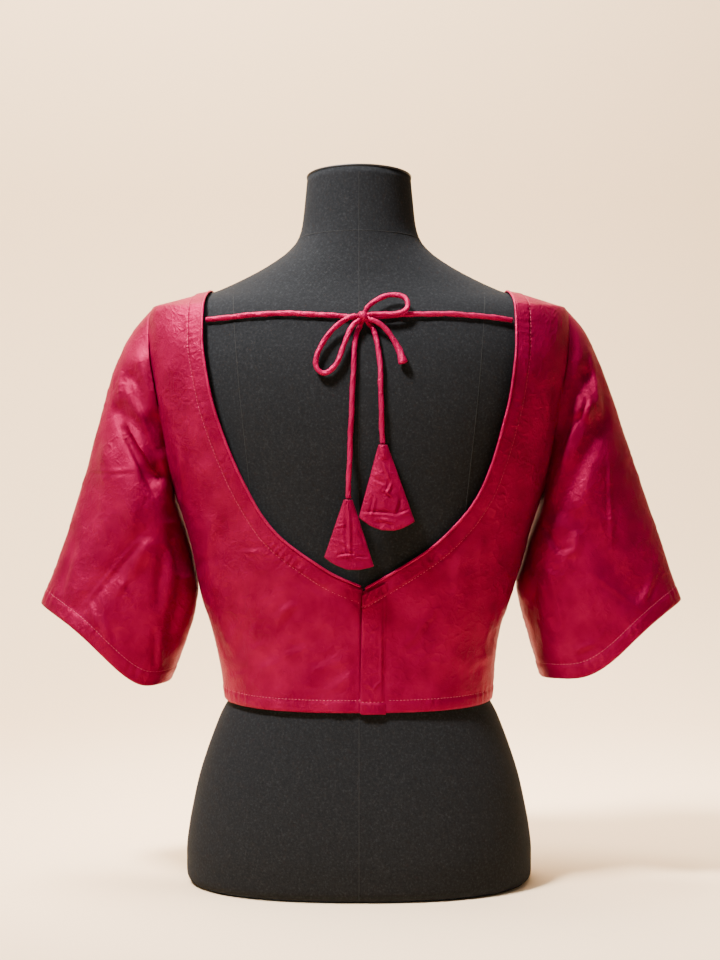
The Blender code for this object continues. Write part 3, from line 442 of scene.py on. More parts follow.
# %% Routes of the cords
CORD = 0.0050
Stop = namedtuple("Stop", "x z lift")
ROUTES = {
    "tie_strap_left": [
        Stop(-0.1478, 0.5545, 0.0030), Stop(-0.1300, 0.5563, 0.0029), Stop(-0.1050, 0.5585, 0.0029),
        Stop(-0.0801, 0.5600, 0.0029), Stop(-0.0550, 0.5594, 0.0029), Stop(-0.0300, 0.5580, 0.0029),
        Stop(-0.0120, 0.5565, 0.0029), Stop(-0.0026, 0.5562, 0.0029),
    ],
    "tie_strap_right": [
        Stop(0.1484, 0.5545, 0.0030), Stop(0.1300, 0.5565, 0.0029), Stop(0.1100, 0.5583, 0.0029),
        Stop(0.0891, 0.5593, 0.0029), Stop(0.0680, 0.5594, 0.0029), Stop(0.0478, 0.5588, 0.0029),
        Stop(0.0250, 0.5572, 0.0029), Stop(0.0106, 0.5562, 0.0029),
    ],
    "bow_loop_left": [
        Stop(-0.0027, 0.5574, 0.0088), Stop(-0.0092, 0.5554, 0.0088), Stop(-0.0170, 0.5504, 0.0085),
        Stop(-0.0267, 0.5415, 0.0070), Stop(-0.0353, 0.5296, 0.0055), Stop(-0.0401, 0.5178, 0.0048),
        Stop(-0.0400, 0.5080, 0.0046), Stop(-0.0355, 0.5030, 0.0046), Stop(-0.0300, 0.5030, 0.0046),
        Stop(-0.0246, 0.5070, 0.0048), Stop(-0.0197, 0.5140, 0.0052), Stop(-0.0149, 0.5277, 0.0062),
        Stop(-0.0098, 0.5404, 0.0080), Stop(-0.0046, 0.5490, 0.0088), Stop(-0.0011, 0.5519, 0.0088),
    ],
    "bow_loop_right": [
        Stop(0.0066, 0.5625, 0.0090), Stop(0.0103, 0.5672, 0.0090), Stop(0.0182, 0.5732, 0.0090),
        Stop(0.0269, 0.5770, 0.0090), Stop(0.0368, 0.5774, 0.0088), Stop(0.0437, 0.5745, 0.0088),
        Stop(0.0464, 0.5695, 0.0088), Stop(0.0455, 0.5640, 0.0088), Stop(0.0405, 0.5606, 0.0088),
        Stop(0.0317, 0.5588, 0.0089), Stop(0.0220, 0.5590, 0.0090), Stop(0.0103, 0.5585, 0.0090),
    ],
    "tie_tail_left": [
        Stop(0.0016, 0.5486, 0.0029), Stop(-0.0014, 0.5425, 0.0030), Stop(-0.0036, 0.5330, 0.0031),
        Stop(-0.0047, 0.5160, 0.0031), Stop(-0.0056, 0.4960, 0.0031), Stop(-0.0066, 0.4742, 0.0031),
        Stop(-0.0074, 0.4560, 0.0031), Stop(-0.0081, 0.4400, 0.0034), Stop(-0.0088, 0.4200, 0.0048),
        Stop(-0.0096, 0.4020, 0.0068), Stop(-0.0102, 0.3833, 0.0088),
    ],
    "tie_tail_right": [
        Stop(0.0083, 0.5510, 0.0029), Stop(0.0130, 0.5450, 0.0031), Stop(0.0164, 0.5360, 0.0031),
        Stop(0.0186, 0.5230, 0.0031), Stop(0.0203, 0.5060, 0.0031), Stop(0.0208, 0.4860, 0.0031),
        Stop(0.0212, 0.4680, 0.0031), Stop(0.0217, 0.4500, 0.0033), Stop(0.0226, 0.4352, 0.0040),
    ],
    "tie_tail_short": [
        Stop(0.0101, 0.5533, 0.0090), Stop(0.0178, 0.5505, 0.0086), Stop(0.0248, 0.5450, 0.0070),
        Stop(0.0316, 0.5362, 0.0052), Stop(0.0376, 0.5247, 0.0042), Stop(0.0422, 0.5115, 0.0040),
    ],
}
route_of = {name: spline([form_back(*stop) for stop in stops], 160) for name, stops in ROUTES.items()}
print({name: round(length_of(points), 3) for name, points in route_of.items()})


# %% Meshes from grids of points
def grid_mesh(name, grid, closed=False, caps=False, outward=None):
    """A mesh through a grid of points, with its UV map in metres and its faces pointing out."""
    rows, wide = grid.shape[:2]
    verts = grid.reshape(-1, 3)
    steps = wide if closed else wide - 1
    r, c = np.meshgrid(np.arange(rows - 1), np.arange(steps), indexing="ij")
    d = (c + 1) % wide
    faces = np.stack([r * wide + c, r * wide + d, (r + 1) * wide + d, (r + 1) * wide + c], -1)
    faces = faces.reshape(-1, 4)
    if outward is not None:
        a, b, e = verts[faces[:, 0]], verts[faces[:, 1]], verts[faces[:, 2]]
        normal = np.cross(b - a, e - b)
        if (normal * outward(a)).sum() < 0.0:
            faces = faces[:, ::-1]
    polygons = faces.tolist()
    if caps:
        polygons.append(list(range(wide))[::-1])
        polygons.append(list(range(len(verts) - wide, len(verts))))
    mesh = bpy.data.meshes.new(name)
    mesh.from_pydata(verts.tolist(), [], polygons)
    add_cloth_map(mesh, grid, closed)
    mesh.shade_smooth()
    return mesh


def add_cloth_map(mesh, grid, closed):
    """UVs that are distances along the cloth, so that threads have one size all over."""
    ring = np.concatenate([grid, grid[:, :1]], axis=1) if closed else grid
    across = np.concatenate([np.zeros((len(grid), 1)),
                             np.cumsum(np.linalg.norm(np.diff(ring, axis=1), axis=2), axis=1)], axis=1)
    along = np.concatenate([[0.0], np.cumsum(np.linalg.norm(np.diff(grid, axis=0), axis=2).mean(axis=1))])
    wide = grid.shape[1]
    layer = mesh.uv_layers.new(name="cloth")
    corners = np.zeros(len(mesh.loops), dtype=np.int32)
    mesh.loops.foreach_get("vertex_index", corners)
    row, column = corners // wide, corners % wide
    layer.data.foreach_set("uv", np.stack([across[row, column], along[row]], -1).ravel().astype(np.float32))


def wobble(points, size, seed):
    """Smooth noise from -1 to 1 at each point, with features of about this size."""
    shift = Vector((seed * 3.7, seed * 1.9, seed * 5.3))
    flat = points.reshape(-1, 3) / size
    values = [noise.noise(Vector(p) + shift) for p in flat.tolist()]
    return np.array(values).reshape(points.shape[:-1])


# %% Tubes of sewn cloth
CORD_SIDES = 20
CORD_FLATNESS = 0.20
CORD_TWIST = 24.0          # turns of the seam for each metre


def frames_along(points):
    """Two directions at right angles to the line at each point, without sudden turns."""
    tangents = np.gradient(points, axis=0)
    tangents /= np.linalg.norm(tangents, axis=1, keepdims=True)
    side = np.cross(tangents[0], (0.0, 1.0, 0.0))
    sides = []
    for tangent in tangents:
        side = side - tangent * side.dot(tangent)
        side = side / np.linalg.norm(side)
        sides.append(side)
    sides = np.array(sides)
    return sides, np.cross(tangents, sides)


def sewn_tube(name, points, diameter, radii=None, closed_ends=True, twist=CORD_TWIST, ridge=0.15):
    """A cloth tube with a seam ridge that winds around it, and uneven walls."""
    sides, ups = frames_along(points)
    reach = np.linspace(0.0, length_of(points), len(points))
    angles = np.arange(CORD_SIDES) * 2.0 * math.pi / CORD_SIDES
    wind = reach[:, None] * twist * 2.0 * math.pi
    seam = np.cos(angles[None, :] - wind)
    radius = diameter / 2.0 * (radii if radii is not None else np.ones(len(points)))
    shape = 1.0 - CORD_FLATNESS * np.sin(angles[None, :]) ** 2 + ridge * np.maximum(0.0, seam) ** 9
    fold = np.cos(angles[None, :] - wind - 2.3)
    shape = shape - 0.16 * np.maximum(0.0, fold) ** 10
    ring = points[:, None, :] + radius[:, None, None] * shape[:, :, None] * (
        np.cos(angles)[None, :, None] * sides[:, None, :] + np.sin(angles)[None, :, None] * ups[:, None, :])
    bump = 0.055 * wobble(ring, 0.0042, 2.0) + 0.03 * wobble(ring, 0.0016, 5.0)
    ring = points[:, None, :] + (ring - points[:, None, :]) * (1.0 + bump[:, :, None])
    if closed_ends:
        for end, tip in ((0, 0.55), (-1, 0.55)):
            ring[end] = points[end] + (ring[end] - points[end]) * tip
    middle = points[:, None, :].repeat(CORD_SIDES, axis=1)
    flat_middle = middle[:-1].reshape(-1, 3)
    return grid_mesh(name, ring, closed=True, caps=True, outward=lambda a: a - flat_middle)


SHORT_TAIL_FLARE = 1.9
tie_pieces = {}
for name, points in route_of.items():
    count = max(40, int(length_of(points) / 0.0009))
    line = even(points, count)
    radii = np.ones(count)
    if name == "tie_tail_short":
        radii = 1.0 + (SHORT_TAIL_FLARE - 1.0) * np.linspace(0.0, 1.0, count) ** 4
    tie_pieces[name] = new_object(name + "_cloth", sewn_tube(name, line, CORD, radii), trim)
    route_of[name] = line
print("cords:", {name: len(piece.data.polygons) for name, piece in tie_pieces.items()})

# %% [markdown]
# ## The dress form
#
# The form is a padded half body under tight jersey. Its surface has nothing but its shape and
# the sewn joins of the cover: one down the centre back, one on each side from the shoulder, and
# one round the foot of the neck. The joins could be cut into the mesh, but they are half a
# millimetre wide, so they are thin dark ribs, half sunk in the jersey.

# %% Charcoal jersey
jersey, jersey_shader, nodes, links = new_shader("charcoal_jersey", (0.012, 0.0125, 0.014), 0.88)
jersey_shader.inputs["Specular IOR Level"].default_value = 0.05
jersey_shader.inputs["Sheen Weight"].default_value = 0.015
jersey_shader.inputs["Sheen Roughness"].default_value = 0.6
jersey_shader.inputs["Sheen Tint"].default_value = (0.75, 0.80, 0.90, 1.0)
mottle = object_noise(nodes, links, "mottled yarn", 0.0022, 4.0, 0.7)
greys = colour_ramp(nodes, "charcoal shades", (0.30, (0.0060, 0.0066, 0.0076)),
                    (0.55, (0.0105, 0.0114, 0.0128)), (0.78, (0.024, 0.0255, 0.0285)))
links.new(mottle.outputs["Fac"], greys.inputs["Fac"])
links.new(greys.outputs["Color"], jersey_shader.inputs["Base Color"])
nap = object_noise(nodes, links, "nap", 0.0011, 3.0, 0.6)
nap_bump = add_node(nodes, "ShaderNodeBump", "nap bump", Strength=0.8, Distance=0.00022)
links.new(nap.outputs["Fac"], nap_bump.inputs["Height"])
links.new(nap_bump.outputs["Normal"], jersey_shader.inputs["Normal"])

rim, _, _, _ = new_shader("black_cap", (0.010, 0.010, 0.011), 0.55)
seam_dark, _, _, _ = new_shader("jersey_join", (0.0035, 0.0035, 0.0038), 0.95)
print("form finishes:", jersey.name, rim.name, seam_dark.name)

# %% Cover of the form
BASE_FILLET = 0.010
NECK_FOOT = 0.640
NECK_TILT = 0.165
SEAM = 0.0003


def form_heights():
    """Heights of the rings: close together at the base's rounding, then about 6 mm apart."""
    rounding = BASE_FILLET * (1.0 - np.cos(np.linspace(0.0, math.pi / 2.0, 7)))
    return np.concatenate([rounding, np.linspace(0.0145, FORM[-1].height, 118)])


def form_grid(heights, sides):
    turns = 4.0 * np.arange(sides) / sides
    side = np.where(turns <= 2.0, 1.0, -1.0)
    grid = form_surface(1, np.where(turns <= 2.0, turns, 4.0 - turns)[None, :], heights[:, None])
    grid = np.array(grid)
    grid[..., 0] *= side
    drop = np.maximum(BASE_FILLET - heights, 0.0)
    inset = BASE_FILLET - np.sqrt(BASE_FILLET ** 2 - drop ** 2)
    shrink = 1.0 - inset / smooth_column(FORM, "half_width", heights)
    tilt = NECK_TILT * np.clip((heights - NECK_FOOT) / (FORM[-1].height - NECK_FOOT), 0.0, 1.0)
    grid[..., :2] *= shrink[:, None, None]
    grid[..., 2] -= tilt[:, None] * grid[..., 1]
    return grid


def from_axis(points):
    return points * np.array([1.0, 1.0, 0.0])


body = form_grid(form_heights(), 144)
cover = new_object("dress_form_cover", grid_mesh("dress_form_cover", body, closed=True, caps=True,
                                                 outward=from_axis), jersey)
print("form cover:", len(cover.data.polygons), "faces")

# %% Cap and joins
top_ring = body[-1]
top_middle = top_ring.mean(axis=0)
cap_up = np.array([0.0, NECK_TILT, 1.0]) / math.hypot(NECK_TILT, 1.0)
cap_rows = []
for rise, size in ((0.0, 1.004), (0.0004, 1.012), (0.0016, 1.012), (0.0019, 1.006), (0.0020, 0.990)):
    cap_rows.append(top_middle + (top_ring - top_middle) * size + cap_up * (SEAM + rise))
cap = new_object("neck_cap_disc", grid_mesh("neck_cap_disc", np.array(cap_rows), closed=True, caps=True,
                                            outward=lambda a: a - top_middle), rim)


def join_line(points, name):
    """A thin rib along a join of the jersey cover."""
    curve = bpy.data.curves.new(name, "CURVE")
    curve.dimensions = "3D"
    curve.bevel_depth = 0.00032
    curve.bevel_resolution = 1
    curve.use_fill_caps = True
    line = curve.splines.new("POLY")
    line.points.add(len(points) - 1)
    line.points.foreach_set("co", np.hstack([points, np.ones((len(points), 1))]).ravel())
    return new_object(name, curve, seam_dark)


heights = np.linspace(0.004, 0.694, 140)
centre_back = form_surface(1, 0.0, heights) + np.array([0.0, 0.00005, 0.0])
tilt = NECK_TILT * np.clip((heights - NECK_FOOT) / (FORM[-1].height - NECK_FOOT), 0.0, 1.0)
centre_back[:, 2] -= tilt * centre_back[:, 1]
joins = [join_line(centre_back, "centre_back_join")]
princess = spline([(0.1228, 0.5880), (0.1180, 0.5300), (0.1125, 0.4700), (0.1050, 0.4000),
                   (0.0980, 0.3300), (0.0900, 0.2500)], 60)
for side, name in ((-1, "side_back_join_left"), (1, "side_back_join_right")):
    joins.append(join_line(form_surface(side, turn_of(FORM, princess[:, 0], princess[:, 1]),
                                        princess[:, 1]) * 0.9998, name))
turns = 4.0 * np.arange(97) / 96
flip = np.where(turns <= 2.0, 1.0, -1.0)
ring = np.array(form_surface(1, np.where(turns <= 2.0, turns, 4.0 - turns), 0.6372 + 0.0 * turns))
for _ in range(4):
    ring = np.array(form_surface(1, np.where(turns <= 2.0, turns, 4.0 - turns), 0.6372 - 0.10 * ring[:, 1]))
ring[:, 0] *= flip
joins.append(join_line(ring, "neck_foot_join"))
print("joins:", [piece.name for piece in joins])

# %% [markdown]
# ## The cut of the blouse
#
# A real choli is cut flat and sewn round. Here each panel is a grid of rows from the hem up to
# the shoulder. A row runs from the panel's middle edge, which is the opening and then the
# neckline, to its outer edge, which is the side seam and then the armhole. So the grid's edges
# are the garment's edges, and a facing, a hem or a row of stitches is a known distance in from
# one of them. The measured model has the same grids with far fewer rows.

# %% Edges of the panels
HEM, HEM_RISE, UNDERARM = 0.1785, 0.006, 0.385
PARTING, PARTING_REACH = 0.0035, 0.030
SEAM_ROWS, ARM_ROWS, COLUMNS = 7, 14, 10
NECK_ROWS = {False: 16, True: 9}
FINER = {False: 12, True: 8}       # steps here for each one of the measured model, back and front
EdgePoint = namedtuple("EdgePoint", "x z")
NECKLINE_BACK = {
    -1: [EdgePoint(0.0000, 0.2975), EdgePoint(0.0361, 0.3164), EdgePoint(0.0828, 0.3524),
         EdgePoint(0.1146, 0.4047), EdgePoint(0.1387, 0.4668), EdgePoint(0.1498, 0.5190),
         EdgePoint(0.1520, 0.5500), EdgePoint(0.1514, 0.5740), EdgePoint(0.1480, 0.5864)],
    1: [EdgePoint(0.0000, 0.2945), EdgePoint(0.0333, 0.3118), EdgePoint(0.0800, 0.3439),
        EdgePoint(0.1176, 0.3903), EdgePoint(0.1418, 0.4634), EdgePoint(0.1504, 0.5140),
        EdgePoint(0.1523, 0.5480), EdgePoint(0.1516, 0.5740), EdgePoint(0.1480, 0.5864)],
}
NECKLINE_FRONT = [
    EdgePoint(0.0000, 0.4680), EdgePoint(0.0380, 0.4710), EdgePoint(0.0760, 0.4840),
    EdgePoint(0.1090, 0.5100), EdgePoint(0.1310, 0.5400), EdgePoint(0.1430, 0.5680),
    EdgePoint(0.1480, 0.5864),
]
ArmholeRow = namedtuple("ArmholeRow", "height back_turn front_turn")
ARMHOLE = [
    ArmholeRow(0.3850, 1.000, 1.000), ArmholeRow(0.3930, 0.905, 1.100), ArmholeRow(0.4100, 0.845, 1.165),
    ArmholeRow(0.4400, 0.805, 1.210), ArmholeRow(0.4800, 0.790, 1.225), ArmholeRow(0.5150, 0.805, 1.205),
    ArmholeRow(0.5420, 0.840, 1.165), ArmholeRow(0.5600, 0.895, 1.105), ArmholeRow(0.5700, 1.000, 1.000),
]


def neckline(side, front, count):
    """Turns and heights along the neckline, from its middle to the shoulder."""
    table = NECKLINE_FRONT if front else NECKLINE_BACK[side]
    fine = spline([(p.x, p.z) for p in table], 120)
    solid = cloth_surface(-1, turn_of(CLOTH, fine[:, 0], fine[:, 1], front), fine[:, 1])
    picked = even(solid, count)
    return turn_of(CLOTH, picked[:, 0], picked[:, 2], front), picked[:, 2]


def armhole(front, count):
    """Turns and heights along the armhole, from the underarm to the shoulder."""
    marks = spline([(row.front_turn if front else row.back_turn, row.height) for row in ARMHOLE], 160)
    solid = cloth_surface(1, marks[:, 0], marks[:, 1])
    reach = np.concatenate([[0.0], np.cumsum(np.linalg.norm(np.diff(solid, axis=0), axis=1))])
    goals = np.linspace(0.0, reach[-1], count)
    return np.interp(goals, reach, marks[:, 0]), np.interp(goals, reach, marks[:, 1])


def hem_height(turn):
    return HEM + HEM_RISE * np.where(turn <= 1.0, turn, 2.0 - turn) ** 2


def parted(points):
    """Places of a back panel, moved round with the parting where they are near it."""
    near = np.maximum(0.0, 1.0 - np.abs(points[..., 0]) / PARTING_REACH)
    x, z = points[..., 0] + PARTING * near ** 2, points[..., 2]
    turn = turn_of(CLOTH, x, z)
    moved = np.where((x > 0.0)[..., None], cloth_surface(1, turn, z), cloth_surface(-1, turn, z))
    return np.where((near > 0.0)[..., None], moved, points)


def panel_grid(side, front):
    """A panel's places, from the hem up and from its middle edge out."""
    finer = FINER[front]
    low_rows, low = SEAM_ROWS * finer, float(hem_height(np.float64(1.0)))
    arm_turn, arm_height = armhole(front, ARM_ROWS * finer + 1)
    outer_turn = np.concatenate([np.ones(low_rows), arm_turn])
    outer_height = np.concatenate([low + (UNDERARM - low) * np.arange(low_rows) / low_rows, arm_height])
    neck_turn, neck_height = neckline(side, front, NECK_ROWS[front] * finer + 1)
    rows = len(outer_turn) - len(neck_turn)
    inner_turn = np.concatenate([np.full(rows, 2.0 if front else 0.0), neck_turn])
    inner_height = np.concatenate([HEM + (neck_height[0] - HEM) * np.arange(rows) / rows, neck_height])
    share = np.linspace(0.0, 1.0, COLUMNS * finer + 1)[None, :]
    turn = inner_turn[:, None] * (1.0 - share) + outer_turn[:, None] * share
    height = inner_height[:, None] * (1.0 - share) + outer_height[:, None] * share
    fade = np.clip(1.0 - np.arange(len(height)) / finer, 0.0, 1.0)[:, None]
    height = height + (hem_height(turn[0]) - height[0])[None, :] * fade
    points = cloth_surface(side, turn, height)
    return points if front else parted(points), rows


back_left, left_neck_row = panel_grid(-1, False)
back_right, right_neck_row = panel_grid(1, False)
print("back panel grids:", back_left.shape, back_right.shape)

# %% [markdown]
# ## Creases
#
# Real creases aren't noise: each one starts at a seam or a pull, and is as sharp on one side as
# it is soft on the other. So the larger ones are listed in tables: where a crease
# starts and ends as seen from behind, how far it bows, how wide and how high it is. Each is a
# ridge with a shallow valley beside it, and fades out at both ends. Between them, smooth noise
# gives the cloth its slow swells, and a thin line wherever a second noise crosses zero gives
# it the small crushed arcs.

# %% Crease tools
Crease = namedtuple("Crease", "out1 z1 out2 z2 bow width height")


def near_crease(crease, out, z):
    """The distance to a bowed crease, with its side as the sign, and the share along it."""
    start, end = np.array([crease.out1, crease.z1]), np.array([crease.out2, crease.z2])
    along = end - start
    reach = np.linalg.norm(along)
    along = along / reach
    beside = np.array([-along[1], along[0]])
    rel_out, rel_z = out - start[0], z - start[1]
    run = (rel_out * along[0] + rel_z * along[1]) / reach
    off = rel_out * beside[0] + rel_z * beside[1]
    off = off - crease.bow * 4.0 * np.clip(run, 0.0, 1.0) * (1.0 - np.clip(run, 0.0, 1.0))
    return off, run


def crease_height(creases, out, z):
    """The sum of the creases: a ridge each, with a shallow valley on its lower side."""
    total = np.zeros_like(out)
    for crease in creases:
        off, run = near_crease(crease, out, z)
        inside = np.clip(run, 0.0, 1.0)
        fade = (4.0 * inside * (1.0 - inside)) ** 0.6
        ridge = np.exp(-(off / crease.width) ** 2)
        valley = np.exp(-((off + 1.7 * crease.width) / (1.15 * crease.width)) ** 2)
        total += crease.height * fade * (ridge - 0.55 * valley)
    return total


def crushed(points, size, seed):
    """Thin curved ridges, from 0 to 1, in patches."""
    bend = np.stack([wobble(points, size * 1.6, seed + k) for k in (1.0, 2.0, 3.0)], axis=-1)
    line = np.maximum(0.0, 1.0 - np.abs(wobble(points + bend * size * 0.9, size, seed)) / 0.16) ** 2
    patch = np.clip(0.5 + 1.6 * wobble(points, size * 3.0, seed + 9.0), 0.0, 1.0)
    return line * patch


def grid_normals(grid, closed=False):
    """Outward directions of a grid: away from the axis, or from each ring's middle."""
    padded = np.concatenate([grid[:, -1:], grid, grid[:, :1]], axis=1) if closed else grid
    across = np.gradient(padded, axis=1)
    across = across[:, 1:-1] if closed else across
    normal = np.cross(across, np.gradient(grid, axis=0))
    normal /= np.maximum(np.linalg.norm(normal, axis=-1, keepdims=True), 1e-12)
    middle = grid.mean(axis=1, keepdims=True) if closed else np.zeros(3)
    away = (grid - middle) * np.array([1.0, 1.0, 0.0])
    return normal if (normal * away).sum() > 0.0 else -normal


def distance_to(points, line):
    """Each place's distance to a line, and how far along the line its nearest point is."""
    reach = np.concatenate([[0.0], np.cumsum(np.linalg.norm(np.diff(line, axis=0), axis=1))])
    gaps, marks = [], []
    for row in points:
        apart = np.linalg.norm(row[:, None, :] - line[None, :, :], axis=2)
        nearest = apart.argmin(axis=1)
        gaps.append(apart[np.arange(len(row)), nearest])
        marks.append(reach[nearest])
    return np.array(gaps), np.array(marks)


def step_down(value, at, soft):
    """1 below a distance and 0 beyond it, with a soft edge."""
    t = np.clip((value - at + soft) / (2.0 * soft), 0.0, 1.0)
    return 1.0 - t * t * (3.0 - 2.0 * t)


print("a crease's profile in mm:", [round(float(v) * 1000, 2) for v in crease_height(
    [Crease(0.1, 0.2, 0.1, 0.3, 0.0, 0.004, 0.001)], np.array([0.092, 0.096, 0.1, 0.104]), np.full(4, 0.25))])

# %% [markdown]
# A turned edge shows as a band. At the neckline the facing is stitched down 14.5 mm in, at the
# hem about 12 mm up. The band is a layer thicker, the thread sinks into it, and where the two
# layers were fed unevenly under the needle, small puckers run across from the stitches.

# %% Bands with stitches
Band = namedtuple("Band", "depth rise pucker pucker_size seed")
NECK_BAND = Band(0.0145, 0.00055, 0.00070, 0.0066, 11.0)
HEM_BAND = Band(0.0118, 0.00050, 0.00050, 0.0090, 23.0)
CUFF_BAND = Band(0.0150, 0.00060, 0.00080, 0.0085, 37.0)


def band_height(band, gap, mark):
    """The height that a stitched band adds at a distance from its edge and a mark along it."""
    rise = band.rise * step_down(gap, band.depth, 0.0010)
    groove = -0.00070 * np.exp(-((gap - band.depth + 0.0004) / 0.0010) ** 2)
    track = np.stack([mark, gap * 0.3, 0.0 * mark], axis=-1)
    phase = 2.0 * math.pi * mark / band.pucker_size + 3.2 * wobble(track, 0.016, band.seed)
    where = np.clip(0.35 + 1.5 * wobble(track, 0.030, band.seed + 4.0), 0.0, 1.0)
    shape = np.exp(-((gap - band.depth * 0.80) / (band.depth * 0.42)) ** 2)
    ripple = band.pucker * np.sin(phase) * where * shape
    rolled = -0.00030 * np.exp(-(gap / 0.0008) ** 2)
    return rise + groove + ripple + rolled


def column_reach(grid):
    """How far each place is up its own column from the first row."""
    steps = np.linalg.norm(np.diff(grid, axis=0), axis=2)
    return np.concatenate([np.zeros((1, grid.shape[1])), np.cumsum(steps, axis=0)])


def row_reach(grid):
    steps = np.linalg.norm(np.diff(grid, axis=1), axis=2)
    return np.concatenate([np.zeros((grid.shape[0], 1)), np.cumsum(steps, axis=1)], axis=1)


print("bands in mm:", [round(band.depth * 1000, 1) for band in (NECK_BAND, HEM_BAND, CUFF_BAND)])

# %% Creases of the back and the front
BACK_CREASES = {
    -1: [
        Crease(0.1737, 0.4342, 0.1728, 0.3751, 0.0004, 0.0034, 0.0012),
        Crease(0.1783, 0.4227, 0.1748, 0.3809, 0.0006, 0.0042, -0.0010),
        Crease(0.1506, 0.3247, 0.1581, 0.3059, 0.0004, 0.0044, -0.0010),
        Crease(0.1382, 0.3669, 0.1489, 0.3189, 0.0008, 0.0060, 0.0014),
        Crease(0.1191, 0.4120, 0.1163, 0.3767, 0.0004, 0.0042, 0.0009),
        Crease(0.1050, 0.3105, 0.1022, 0.2683, 0.0004, 0.0044, 0.0007),
        Crease(0.1036, 0.2508, 0.0988, 0.2632, 0.0002, 0.0029, 0.0009),
        Crease(0.1205, 0.2598, 0.1247, 0.2288, 0.0008, 0.0050, 0.0015),
        Crease(0.0627, 0.2852, 0.0796, 0.2626, 0.0008, 0.0042, 0.0015),
        Crease(0.0486, 0.2964, 0.0345, 0.2880, 0.0002, 0.0030, 0.0006),
        Crease(0.0768, 0.2739, 0.0571, 0.2824, 0.0003, 0.0036, 0.0008),
        Crease(0.0740, 0.2316, 0.0486, 0.2401, 0.0004, 0.0036, 0.0008),
        Crease(0.0965, 0.2176, 0.0740, 0.2288, 0.0004, 0.0040, 0.0008),
        Crease(0.0458, 0.2176, 0.0120, 0.2316, 0.0006, 0.0042, 0.0009),
        Crease(0.0317, 0.1978, 0.0036, 0.2176, 0.0006, 0.0042, 0.0009),
        Crease(0.1247, 0.2063, 0.1050, 0.2147, 0.0004, 0.0035, 0.0007),
        Crease(0.1050, 0.2345, 0.0881, 0.2457, 0.0003, 0.0031, 0.0007),
        Crease(0.0120, 0.2739, 0.0148, 0.2457, 0.0003, 0.0027, 0.0007),
        Crease(0.1346, 0.2739, 0.1289, 0.2373, 0.0006, 0.0042, 0.0013),
        Crease(0.1444, 0.3077, 0.1346, 0.2880, 0.0004, 0.0042, 0.0007),
        Crease(0.1134, 0.3317, 0.0881, 0.3331, 0.0002, 0.0023, 0.0006),
    ],
    1: [
        Crease(0.1891, 0.4457, 0.1748, 0.3941, 0.0008, 0.0062, -0.0018),
        Crease(0.1633, 0.3425, 0.1518, 0.3052, 0.0006, 0.0052, 0.0014),
        Crease(0.1182, 0.3472, 0.1154, 0.3105, 0.0003, 0.0042, 0.0007),
        Crease(0.0956, 0.3303, 0.0928, 0.2993, 0.0003, 0.0042, 0.0007),
        Crease(0.0477, 0.2429, 0.0759, 0.2795, 0.0006, 0.0030, 0.0006),
        Crease(0.0393, 0.2367, 0.0520, 0.2500, 0.0002, 0.0026, 0.0005),
        Crease(0.1238, 0.2345, 0.1182, 0.2006, 0.0004, 0.0042, 0.0007),
        Crease(0.1041, 0.2176, 0.1266, 0.2288, 0.0004, 0.0040, 0.0006),
        Crease(0.1379, 0.2795, 0.1266, 0.2288, 0.0006, 0.0052, -0.0012),
        Crease(0.1920, 0.4945, 0.1891, 0.4572, 0.0003, 0.0042, -0.0014),
        Crease(0.0275, 0.2800, 0.0272, 0.2000, 0.0000, 0.0023, 0.0004),
    ],
}
FRONT_CREASES = {
    -1: [
        Crease(0.1700, 0.3900, 0.1150, 0.3900, 0.0030, 0.0060, 0.0016),
        Crease(0.1640, 0.3600, 0.1180, 0.3480, 0.0030, 0.0060, 0.0013),
        Crease(0.1350, 0.3000, 0.1020, 0.3350, 0.0020, 0.0060, 0.0014),
        Crease(0.0800, 0.3150, 0.0700, 0.2300, 0.0020, 0.0060, 0.0011),
        Crease(0.1180, 0.2300, 0.0600, 0.2100, 0.0020, 0.0050, 0.0010),
        Crease(0.1500, 0.5300, 0.1300, 0.4600, 0.0030, 0.0070, 0.0012),
        Crease(0.0500, 0.2650, 0.0120, 0.2500, 0.0010, 0.0040, 0.0008),
    ],
    1: [
        Crease(0.1720, 0.3840, 0.1200, 0.3780, -0.0030, 0.0060, 0.0015),
        Crease(0.1560, 0.3450, 0.1130, 0.3520, 0.0020, 0.0050, 0.0012),
        Crease(0.1300, 0.2880, 0.0950, 0.3250, 0.0020, 0.0060, 0.0013),
        Crease(0.0720, 0.3080, 0.0820, 0.2350, 0.0020, 0.0060, 0.0010),
        Crease(0.1260, 0.2150, 0.0700, 0.2250, -0.0020, 0.0050, 0.0010),
        Crease(0.1560, 0.5150, 0.1380, 0.4500, -0.0020, 0.0060, 0.0011),
        Crease(0.0560, 0.2250, 0.0140, 0.2350, 0.0010, 0.0040, 0.0008),
    ],
}
SWELL = Crush(0.042, 0.00100)       # the slow rise and fall of the cloth
RUMPLE = Crush(0.016, 0.00050)
ARCS = Crush(0.011, 0.00054)        # the crushed arcs
GROOVE_X, GROOVE_WIDTH, GROOVE_DEPTH = 0.0046, 0.0011, 0.0011
UNDER_PLACKET = 0.0285              # how far right of the middle the placket lies on the cloth
DART_OUT, DART_TOP, DART_DEPTH = 0.074, 0.342, 0.0009
MOST_INWARD = 0.0014                # the cloth never gets nearer to the form than this allows
CALM_FROM, CALM_OVER = 0.262, 0.020 # heights at which the cloth between sleeve and body calms
CALM_SHARE = 0.95


